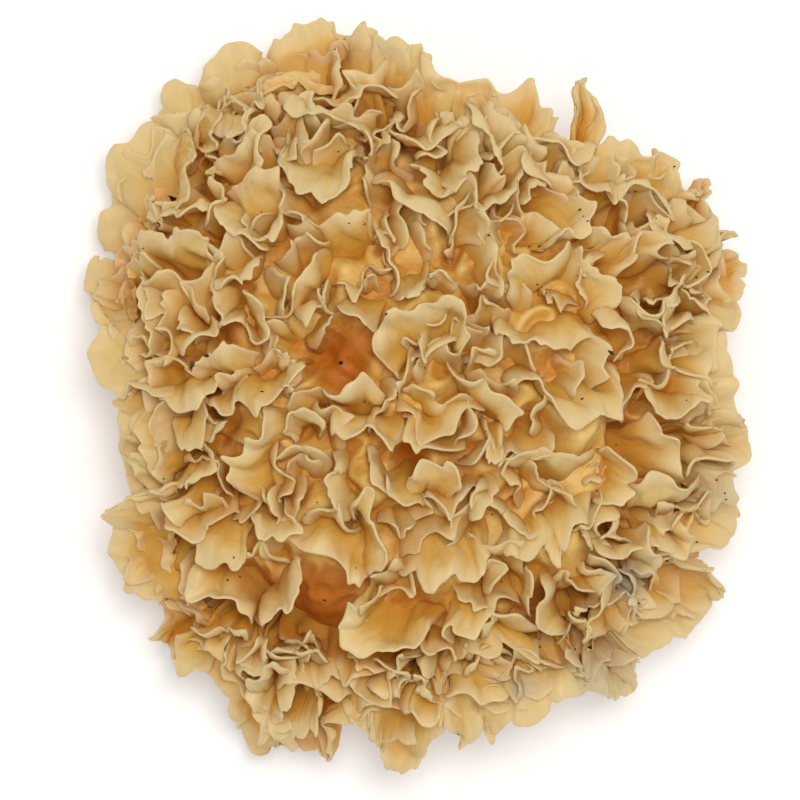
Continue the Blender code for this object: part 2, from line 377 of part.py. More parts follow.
def inner_fronds():
    """(rim, lean) of each small frond deep between the large ones, spread evenly by a sunflower's rule."""
    rng = random.Random(INNER_SEED)
    for i in range(INNER_COUNT):
        out = INNER_REACH * math.sqrt((i + 0.5) / INNER_COUNT)
        turn = i * math.pi * (3 - math.sqrt(5))
        x, y = HALF_WIDTH * out * math.cos(turn), HALF_LENGTH * out * math.sin(turn)
        angle = rng.uniform(0, 2 * math.pi)
        facing = Vector((math.cos(angle), math.sin(angle)))
        sideways = Vector((-facing.y, facing.x))
        rim = []
        for k in range(INNER_RIM_POINTS):
            share = 2 * k / (INNER_RIM_POINTS - 1) - 1
            spot = Vector((x, y)) + sideways * (0.5 * INNER_LENGTH * share) + facing * (2.2 * (1 - share * share))
            deep = INNER_DEPTH + rng.uniform(-1.5, 1.5)
            rim.append(Vector((spot.x, spot.y, dome_height(spot.x, spot.y) - deep)))
        lean = Vector((-3.5 * facing.x, -3.5 * facing.y, -4.5))
        lean.z += dome_rise(rim, lean)
        yield rim, lean


def outline_reach(angle):
    """How far out the outline's nearer notches lie in this direction."""
    reaches = []
    for frond in OUTLINE_FRONDS:
        for x, y, _ in frond.rim:
            off = (math.atan2(y, x) - angle + math.pi) % (2 * math.pi) - math.pi
            if abs(off) < OUTLINE_WINDOW:
                reaches.append(math.hypot(x, y))
    return sorted(reaches)[len(reaches) // 4]


def under_fronds():
    """(rim, lean) of each frond below the outline, ring by ring."""
    rng = random.Random(UNDER_SEED)
    for tier in UNDER_TIERS:
        for i in range(tier.count):
            middle = 2 * math.pi * (i + rng.uniform(-0.18, 0.18)) / tier.count
            half = math.pi * tier.cover / tier.count
            phase = rng.uniform(0, 2 * math.pi)
            rim = []
            for k in range(UNDER_RIM_POINTS):
                share = 2 * k / (UNDER_RIM_POINTS - 1) - 1
                angle = middle + half * share
                reach = outline_reach(angle) * tier.reach * (1 - 0.10 * share * share + rng.uniform(-0.03, 0.03))
                height = tier.height + tier.wave * math.sin(phase + 3.4 * share)
                rim.append(Vector((reach * math.cos(angle), reach * math.sin(angle), max(LOWEST_FROND, height))))
            inward = Vector((math.cos(middle), math.sin(middle), 0)) * -UNDER_LEAN
            yield rim, inward + Vector((0, 0, 0.18 * UNDER_LEAN))


def foot_and_heart(collection):
    """The foot that the head was cut off at, and the tissue above it, turned and then stretched to an oval."""
    bpy.ops.mesh.primitive_cone_add(vertices=40, radius1=FOOT_RADIUS * MM, radius2=FOOT_NECK_RADIUS * MM,
                                    depth=(FOOT_NECK_HEIGHT + 4) * MM,
                                    location=(0, 0, (FOOT_NECK_HEIGHT - 4) / 2 * MM))
    foot = bpy.context.object
    foot.name = "foot"
    for holder in list(foot.users_collection):
        holder.objects.unlink(foot)
    collection.objects.link(foot)

    crown = [(share, dome_height(share * HALF_WIDTH, 0) - HEART_BELOW_DOME) for share in HEART_CROWN_SHARES]
    profile = crown + HEART_FLANK + [(0.0, HEART_FLANK[-1][1])]
    mesh = bpy.data.meshes.new("heart")
    mesh.from_pydata([(share * HALF_WIDTH * MM, 0, z * MM) for share, z in profile],
                     [(k, k + 1) for k in range(len(profile) - 1)], [])
    heart = bpy.data.objects.new("heart", mesh)
    heart.scale.y = HALF_LENGTH / HALF_WIDTH
    collection.objects.link(heart)
    turn = heart.modifiers.new("turn", "SCREW")
    turn.steps = 48
    turn.render_steps = 48
    turn.use_merge_vertices = True
    turn.merge_threshold = 0.00001
    turn.use_normal_calculate = True
    return [foot, heart]


def joined(name, objects, collection):
    """One object of all of them, as they are after their modifiers; the originals are removed."""
    graph = bpy.context.evaluated_depsgraph_get()
    bm = bmesh.new()
    for obj in objects:
        mesh = bpy.data.meshes.new_from_object(obj.evaluated_get(graph))
        mesh.transform(obj.matrix_world)
        bm.from_mesh(mesh)
        bpy.data.meshes.remove(mesh)
        bpy.data.objects.remove(obj)
    mesh = bpy.data.meshes.new(name)
    bm.to_mesh(mesh)
    bm.free()
    whole = bpy.data.objects.new(name, mesh)
    collection.objects.link(whole)
    return whole


def grown_together(whole):
    """Fuses everything in the object into one skin, and thins that out to the triangles that its shape needs."""
    fuse = whole.modifiers.new("fuse", "REMESH")
    fuse.mode = "VOXEL"
    fuse.voxel_size = VOXEL * MM
    graph = bpy.context.evaluated_depsgraph_get()
    faces = len(whole.evaluated_get(graph).data.polygons)
    thin = whole.modifiers.new("thin", "DECIMATE")
    thin.ratio = TRIANGLES / (2 * faces)
    thin.use_collapse_triangulate = True
    graph = bpy.context.evaluated_depsgraph_get()
    mesh = bpy.data.meshes.new_from_object(whole.evaluated_get(graph))
    whole.modifiers.clear()
    whole.data = mesh


def islands(bm):
    """The connected skins of a mesh, largest first."""
    unseen = set(bm.faces)
    found = []
    while unseen:
        skin, edge_of_search = set(), [unseen.pop()]
        while edge_of_search:
            face = edge_of_search.pop()
            skin.add(face)
            for edge in face.edges:
                near = [other for other in edge.link_faces if other in unseen]
                unseen.difference_update(near)
                edge_of_search.extend(near)
        found.append(skin)
    return sorted(found, key=len, reverse=True)


def mend_touching_folds(bm):
    """Where two folds were drawn together along one edge, opens them there and closes each again by itself."""
    for _ in range(MENDING_ROUNDS):
        touching = {vertex for edge in bm.edges if len(edge.link_faces) != 2 for vertex in edge.verts}
        if not touching:
            return
        bmesh.ops.delete(bm, geom=list(touching), context="VERTS")
        bmesh.ops.holes_fill(bm, edges=[edge for edge in bm.edges if edge.is_boundary], sides=0)
        bmesh.ops.triangulate(bm, faces=[face for face in bm.faces if len(face.verts) > 3])


def cut_flat(whole):
    """Keeps the outer skin alone, so that no pocket is sealed inside, and cuts the foot off flat."""
    bm = bmesh.new()
    bm.from_mesh(whole.data)
    mend_touching_folds(bm)
    for pocket in islands(bm)[1:]:
        bmesh.ops.delete(bm, geom=list(pocket), context="FACES")
    everything = bm.verts[:] + bm.edges[:] + bm.faces[:]
    cut = bmesh.ops.bisect_plane(bm, geom=everything, plane_co=(0, 0, 0), plane_no=(0, 0, 1), clear_inner=True)
    rim = [item for item in cut["geom_cut"] if isinstance(item, bmesh.types.BMEdge)]
    bmesh.ops.contextual_create(bm, geom=rim)
    bmesh.ops.triangulate(bm, faces=[face for face in bm.faces if len(face.verts) > 3])
    bm.to_mesh(whole.data)
    bm.free()


def painted(obj, colour):
    """Gives the object the fungus's plain finish."""
    material = bpy.data.materials.new("dried_fungus")
    material.use_nodes = True
    shader = material.node_tree.nodes["Principled BSDF"]
    shader.inputs["Base Color"].default_value = colour
    shader.inputs["Roughness"].default_value = 0.5
    shader.inputs["Metallic"].default_value = 0.0
    obj.data.materials.append(material)


def build_snow_fungus():
    """Builds the head as one solid, because it grew as one piece."""
    clear_scene()
    collection = bpy.data.collections.new("snow_fungus")
    bpy.context.scene.collection.children.link(collection)
    pieces = foot_and_heart(collection)
    for number, (rim, lean) in enumerate([*photographed_fronds(), *inner_fronds(), *under_fronds()]):
        name = f"frond_{number:03d}"
        pieces.append(thickened(name, frond_sheet(name, rim, lean), collection))
    bpy.context.view_layer.update()
    head = joined("fruit_body", pieces, collection)
    grown_together(head)
    cut_flat(head)
    painted(head, FUNGUS_COLOUR)


build_snow_fungus()
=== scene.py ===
"""The looks of a head of dried snow fungus: thin, ruffled, translucent fronds on one foot, cut off flat.

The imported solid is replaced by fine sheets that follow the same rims. The photograph looks straight down,
with +Y at its top. Lengths are in millimetres up to the point where a mesh is made.
"""

from __future__ import annotations

import logging
import math
import random
from dataclasses import dataclass, field
from enum import Enum
from typing import Iterator

import bpy
import numpy as np
from mathutils import Matrix, Vector
from mathutils.bvhtree import BVHTree


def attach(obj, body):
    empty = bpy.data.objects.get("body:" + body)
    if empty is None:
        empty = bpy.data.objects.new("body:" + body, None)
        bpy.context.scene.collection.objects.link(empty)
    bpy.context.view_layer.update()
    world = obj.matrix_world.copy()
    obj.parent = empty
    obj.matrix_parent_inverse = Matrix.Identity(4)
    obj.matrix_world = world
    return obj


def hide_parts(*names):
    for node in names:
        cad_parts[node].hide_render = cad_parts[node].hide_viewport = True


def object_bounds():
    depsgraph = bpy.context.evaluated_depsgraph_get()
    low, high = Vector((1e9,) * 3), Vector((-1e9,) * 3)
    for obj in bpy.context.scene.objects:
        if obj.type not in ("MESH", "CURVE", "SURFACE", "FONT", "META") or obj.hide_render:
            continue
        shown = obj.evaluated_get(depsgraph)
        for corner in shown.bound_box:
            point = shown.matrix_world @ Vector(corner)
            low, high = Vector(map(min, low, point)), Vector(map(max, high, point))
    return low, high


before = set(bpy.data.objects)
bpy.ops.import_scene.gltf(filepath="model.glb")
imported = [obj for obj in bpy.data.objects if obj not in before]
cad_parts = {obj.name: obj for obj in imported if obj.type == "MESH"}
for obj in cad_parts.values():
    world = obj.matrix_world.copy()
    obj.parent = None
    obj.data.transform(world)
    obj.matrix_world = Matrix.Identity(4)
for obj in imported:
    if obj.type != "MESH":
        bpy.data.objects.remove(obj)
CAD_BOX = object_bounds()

LOG = logging.getLogger("snow_fungus")
MM = 0.001
NODE = "fruit_body"

# The dome that the rims follow, and the foot that the fronds come from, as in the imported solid.
HALF_WIDTH = 52.0
HALF_LENGTH = 58.0
HEIGHT = 50.0
SHOULDER_HEIGHT = 13.0
GROWTH_CENTRE = np.array((0.0, 0.0, 8.0))
ROOT_REACH = 15.0
KNEE_SPREAD = 0.72
ROOT_SPREAD = 0.3
RUFFLE_FADE = 1.7
LOWEST_POINT = 0.6
OUTLINE_WINDOW = 0.16
BOX_SLACK = 0.02

# How far round the dome each small frond lies from the one before it, as a sunflower sets its seeds.
GOLDEN_TURN = math.pi * (3 - math.sqrt(5))

# Along a rim: the length of lively and calm stretches, and of stretches that curl to one side.
LIVELY_STRETCH = 11.0
CURL_STRETCH = 14.0
CURL_REACH = 3.2

# From the rim towards the foot: where the creases calm down, and where a frond has its full thickness.
CALM_FROM = 5.0
CALM_TO = 14.0
THICKENING = 7.0

# Points closer than this are one, where the two sides of a frond meet.
WELD = 0.002


@dataclass(frozen=True)
class Frond:
    """One frond of the head.

    Attributes:
        rim: The free edge, as (x, y, depth below the dome).
        lean: From the middle of the rim to the bend where the frond turns down to the foot.
    """

    rim: list[tuple[float, float, float]]
    lean: tuple[float, float, float]


# Fronds of the outline, clockwise from the left-hand side.
OUTLINE_FRONDS = [
    Frond([(-41, 0, 2), (-44, 0.6, 2), (-47.6, 0.6, 2), (-49, 3.3, 2), (-48.9, 8, 2), (-49.2, 13, 2),
           (-49.8, 18, 2), (-49.4, 22, 2)], (10, -2, -3)),
    Frond([(-48.5, 22.5, 4), (-49.3, 26.5, 4), (-47.7, 29.3, 4), (-47.3, 31.5, 5)], (10, -3, -2)),
    Frond([(-46.8, 30.5, 3), (-48.3, 34.5, 2), (-46.8, 37.3, 2), (-43.5, 40.5, 2), (-40.5, 41.6, 2),
           (-37.8, 41, 3)], (7, -8, -3)),
    Frond([(-37.8, 41.5, 5), (-39.2, 44, 4), (-39, 47.5, 4), (-37.9, 49.8, 4), (-36.3, 47.8, 4),
           (-34.2, 46.2, 5)], (3, -9, -1)),
    Frond([(-33.8, 46.5, 4), (-33.6, 50.2, 3), (-31.4, 52.8, 2), (-28.8, 53.6, 2), (-25.8, 52.7, 3),
           (-24.2, 52.6, 4)], (3, -9, -2)),
    Frond([(-24.2, 52.4, 4), (-23.4, 55.8, 3), (-19, 56.3, 2), (-14, 56.4, 2), (-9.3, 56, 2),
           (-7.2, 54.6, 2), (-5.8, 52.6, 4)], (1, -10, -2)),
    Frond([(-6.2, 52.4, 5), (-3, 51.6, 3), (-0.7, 50.2, 3), (1.4, 49, 3), (3.6, 47.6, 3), (6, 46.6, 4)],
           (-2, -9, -2)),
    Frond([(4.5, 46.8, 4), (9, 47.4, 2), (13.5, 47.2, 2), (15.6, 48, 2), (16.5, 46.6, 3), (18.6, 44.8, 3),
           (20, 42.6, 3), (22.4, 41.4, 4)], (-3, -9, -2)),
    Frond([(23.4, 41, 5), (23.6, 45, 4), (24.2, 48, 3), (25, 48.2, 3), (25.7, 46.2, 3), (25.9, 42.5, 4),
           (26.4, 39.5, 5)], (-1, -10, 0)),
    Frond([(26.8, 38.7, 4), (29.5, 37.3, 3), (34, 37.6, 2), (36.5, 36.6, 2), (38.7, 34.5, 2), (39, 31.8, 3),
           (41, 30.6, 5)], (-7, -7, -2)),
    Frond([(40.2, 30.8, 5), (42.2, 31.9, 4), (43, 33, 3), (43.8, 31.8, 3), (42.9, 28, 3), (42.5, 25.2, 4),
           (44.3, 23.6, 5)], (-8, -5, -1)),
    Frond([(43.6, 23.8, 5), (45.2, 24.4, 4), (46.5, 24.9, 3), (45.6, 22.7, 4), (44.4, 20.6, 6)],
           (-7, -3, -2)),
    Frond([(44.4, 20.8, 5), (47.8, 22.1, 3), (50, 20.4, 2), (49.2, 16.5, 2), (47, 12, 2), (44.8, 9.6, 3)],
           (-9, -2, -2)),
    Frond([(44.6, 9.8, 5), (45.4, 7.8, 3), (45.6, 5, 3), (46.1, 1.5, 3), (46.4, -2.5, 3), (46.6, -4.2, 4)],
           (-9, 0, -2)),
    Frond([(45.8, -3, 4), (48.8, -5.3, 3), (49.8, -7.5, 2), (48.4, -9.8, 2), (45.6, -11.2, 4)],
           (-9, 1, -2)),
    Frond([(45.8, -11, 4), (47.6, -14, 2), (48, -18, 2), (46.2, -22, 2), (43, -23.8, 2), (40.8, -24.2, 4)],
           (-8, 4, -2)),
    Frond([(40.4, -24.4, 4), (42, -26.8, 3), (44.8, -28.8, 3), (46.2, -30.2, 2), (45, -32.2, 3),
           (42.2, -33, 3), (41, -34.8, 3), (38, -36.9, 3), (34.5, -38.8, 3), (32.6, -39.6, 4)],
           (-9, 7, -1)),
    Frond([(32.2, -39.4, 5), (32.6, -43.5, 3), (31.2, -45.6, 3), (29.3, -46.2, 3), (27, -44.8, 3),
           (25, -42.2, 5)], (-2, 9, -1)),
    Frond([(25.2, -42.2, 4), (22, -44.8, 3), (19, -45.7, 3), (16, -47.6, 2), (12, -50.5, 2), (10.2, -52, 2),
           (8.6, -49, 4)], (-3, 9, -1)),
    Frond([(8.8, -48.8, 4), (7.2, -50.2, 3), (6, -52.5, 2), (5, -51.8, 3), (3.5, -49.4, 4)], (-1, 8, -1)),
    Frond([(3.8, -49.2, 4), (1, -51.7, 3), (-1.2, -55, 2), (-4, -56.7, 2), (-6.3, -55, 3), (-7, -52.8, 3),
           (-6.9, -50, 4)], (0, 10, -2)),
    Frond([(-6.8, -50.4, 4), (-9, -48.9, 4), (-11, -48.8, 4), (-13.2, -49.8, 4)], (0, 9, -2)),
    Frond([(-12.8, -49.8, 5), (-13.9, -52.9, 4), (-16.9, -54.7, 4), (-20.6, -54.1, 4), (-22.2, -52, 5)],
           (2, 9, -1)),
    Frond([(-22.4, -52.2, 5), (-24.6, -53, 4), (-27, -50, 4), (-29.5, -46.5, 3), (-31.4, -43.8, 3),
           (-33.2, -41.4, 4)], (8, 6, 0)),
    Frond([(-31.8, -41.2, 4), (-35, -41.2, 2), (-37, -39.6, 2), (-37, -37, 4)], (5, 7, -3)),
    Frond([(-36.6, -38.8, 6), (-39.3, -38, 5), (-40.2, -35.5, 5), (-39.6, -32.6, 6)], (7, 5, -1)),
    Frond([(-40.2, -33.4, 3), (-42.2, -30.7, 2), (-44.9, -27.2, 2), (-46.9, -23.5, 1), (-47.2, -20, 1),
           (-45.8, -15.4, 2), (-42.6, -13, 3), (-39.3, -13.4, 3)], (9, 3, -3)),
    Frond([(-44, -14.2, 6), (-44.8, -9, 6), (-46, -3, 5), (-48, 0.6, 4)], (10, 1, 0)),
]

# Fronds of the upper part of the photograph.
UPPER_FRONDS = [
    Frond([(-20.5, 40, 3), (-20.8, 36.5, 2), (-19.8, 33.5, 1), (-17.5, 31, 0), (-15, 30, 0), (-13, 30.7, 0),
           (-10.5, 34, 1), (-9.5, 38, 2)], (0.5, 6, -3)),
    Frond([(-29.5, 39.5, 3), (-28.3, 39.2, 2.5), (-26.5, 40.8, 2), (-24.5, 41, 1), (-23.6, 39.5, 0.5),
           (-24, 36, 0.5), (-24, 33.8, 1)], (-4.5, -2.5, -4)),
    Frond([(-29.5, 31, 3), (-26.5, 33.3, 2), (-23.8, 33.9, 1), (-20.5, 33, 1), (-19.3, 31.5, 2)],
           (0, -6, -3)),
    Frond([(-30.4, 28.4, 2), (-30, 26, 1), (-28.5, 24, 0.5), (-26, 22.3, 0), (-23.8, 21, 0),
           (-22.6, 22, 1)], (2, 6, -4)),
    Frond([(-24.6, 26, 2), (-23.8, 22.8, 0.5), (-21.5, 23.5, -0.5), (-20.6, 26, 0), (-21.2, 28.6, 1)],
           (-1, 1.5, -6)),
    Frond([(-23.8, 20.6, 2), (-24, 18, 0), (-25, 16.2, 0), (-27.2, 15.4, 0), (-30, 15.8, 1), (-33, 17, 2)],
           (-1.5, 5, -4)),
    Frond([(-20.3, 26.8, 2), (-17, 27, 1.5), (-12.5, 27.9, 1), (-9, 27.4, 1), (-7.6, 28.3, 1),
           (-7.5, 25.3, 2)], (0, -6, -4)),
    Frond([(-15.7, 23, 1), (-17.8, 19.5, 0), (-19.3, 15.5, 0), (-21, 12.6, 0.5), (-23.5, 11.8, 1)],
           (3, 0, -7)),
    Frond([(-20, 13.4, 3), (-19, 11.5, 1), (-16.8, 11.2, 0.5), (-15, 12.5, 1), (-14.3, 15.5, 1.5),
           (-14.6, 18.8, 2)], (-1.5, 5, -4)),
    Frond([(-13.2, 14, 2), (-10.3, 13, 1), (-8.3, 11.8, 1), (-6.2, 11.2, 1.5)], (1.5, 6, -3)),
    Frond([(-7.2, 24.6, 1), (-6, 21, 0.5), (-4.2, 18, 1), (-4.8, 15.8, 2)], (4.5, 2.5, -5)),
    Frond([(-4.6, 16.8, 2), (-2, 15.6, 0.5), (0.5, 15.9, 0.5), (1.4, 17.4, 2)], (0, 5.5, -4)),
    Frond([(1.5, 17.2, 2), (2.8, 18.4, 1), (4.8, 17.8, 0.5), (5.8, 15.8, 1.5)], (-0.5, -3.5, -5)),
    Frond([(-6.6, 33, 2), (-5, 30.6, 1), (-4.2, 28.9, 0.5), (-2, 28, 0), (0.5, 27.2, 0), (3, 26.4, 0.5),
           (5.4, 26, 2)], (1.5, 6, -3)),
    Frond([(6.4, 34.2, 2), (8.9, 31.7, 0.5), (9.8, 29.6, 0), (9.9, 27, 0), (10, 24.4, 1), (9, 22, 2.5)],
           (-6, 1, -3)),
    Frond([(6.6, 44.5, 2), (6.7, 41, 1.5), (9, 38, 1), (12, 34.8, 1), (12.8, 32.5, 1.5), (11, 30.5, 3)],
           (4, 2.5, -5)),
    Frond([(-12.5, 42.5, 2), (-9.5, 41, 1), (-8.2, 37.5, 1), (-9, 34.6, 2)], (5, 2.5, -4)),
    Frond([(-5, 40, 2), (-2, 38.6, 1), (2, 38.2, 1), (5, 39.5, 2)], (0, 5.5, -4)),
    Frond([(-22.5, 44, 2), (-19, 42.3, 1), (-16.5, 41.2, 0.5), (-13.5, 40.8, 0.5), (-11.3, 42, 2)],
           (0, 6, -4)),
    Frond([(-16.8, 45, 2), (-14.8, 46.6, 1), (-11.8, 45.4, 1), (-8, 46.5, 1), (-4, 45, 2)], (1, 5, -4)),
    Frond([(-33.6, 41.8, 2), (-31, 40.5, 1.5), (-29, 39.8, 1), (-27, 41.4, 1.5), (-25, 42.6, 2.5)],
           (1, 6, -4)),
    Frond([(-36, 39, 2), (-34.6, 35, 0.5), (-34.8, 31.5, 0.5), (-36.4, 28.3, 2)], (-6, 1, -4)),
    Frond([(-41, 27, 2), (-37, 28.2, 1), (-33.5, 27.6, 1), (-30.6, 26.8, 2)], (0, 4.5, -5)),
    Frond([(-45.5, 23, 2), (-41, 25, 1), (-36, 24.8, 0.5), (-32.5, 23.3, 0.5), (-30.4, 20.6, 2)],
           (-1, -6, -4)),
    Frond([(19.3, 31, 2), (22.5, 30.8, 0.5), (24.3, 28.8, 0), (24.9, 26.3, 0), (24, 24.8, 0.5),
           (20, 22.9, 1), (17.2, 22.6, 2)], (-5.5, 0.5, -5)),
    Frond([(11.6, 16, 3), (12.3, 19.8, 1), (14, 21.6, 0.5), (18.4, 21.6, 0.5), (20.5, 21, 2)],
           (2.5, -6, -4)),
    Frond([(23.5, 25.6, 3), (28, 25.2, 1), (33.3, 24.7, 1), (31.8, 22.3, 0.5), (31, 20.6, 1),
           (29.8, 18.5, 3)], (-3, -3.5, -5)),
    Frond([(22.4, 22.6, 2), (25.5, 20.8, 0.5), (28, 18.6, 0.5), (29.2, 16, 1), (28, 12.6, 2)],
           (-5.5, -4, -5)),
    Frond([(28.6, 14.8, 2), (31, 14, 1), (33.5, 13.9, 1), (36, 15.2, 0.5), (37.2, 17, 1), (38.6, 19, 2)],
           (3.5, -6, -4)),
    Frond([(14.5, 41, 2), (17, 38.6, 1), (20, 38.4, 1), (22.5, 36, 1), (25.5, 36.4, 2)], (0, 5, -4)),
    Frond([(14.8, 36, 2), (16.2, 33, 1), (19.5, 32.4, 2)], (3.5, 5, -5)),
    Frond([(26, 31, 2), (29.5, 29.6, 1), (33, 30.8, 1), (36, 29.4, 1), (38.5, 27, 2)], (1, 5, -4)),
    Frond([(38.2, 24, 2), (41, 22, 1), (42.6, 19.2, 0.5), (41.2, 16.6, 1), (38.8, 15.6, 2)], (3, 1.5, -5)),
]

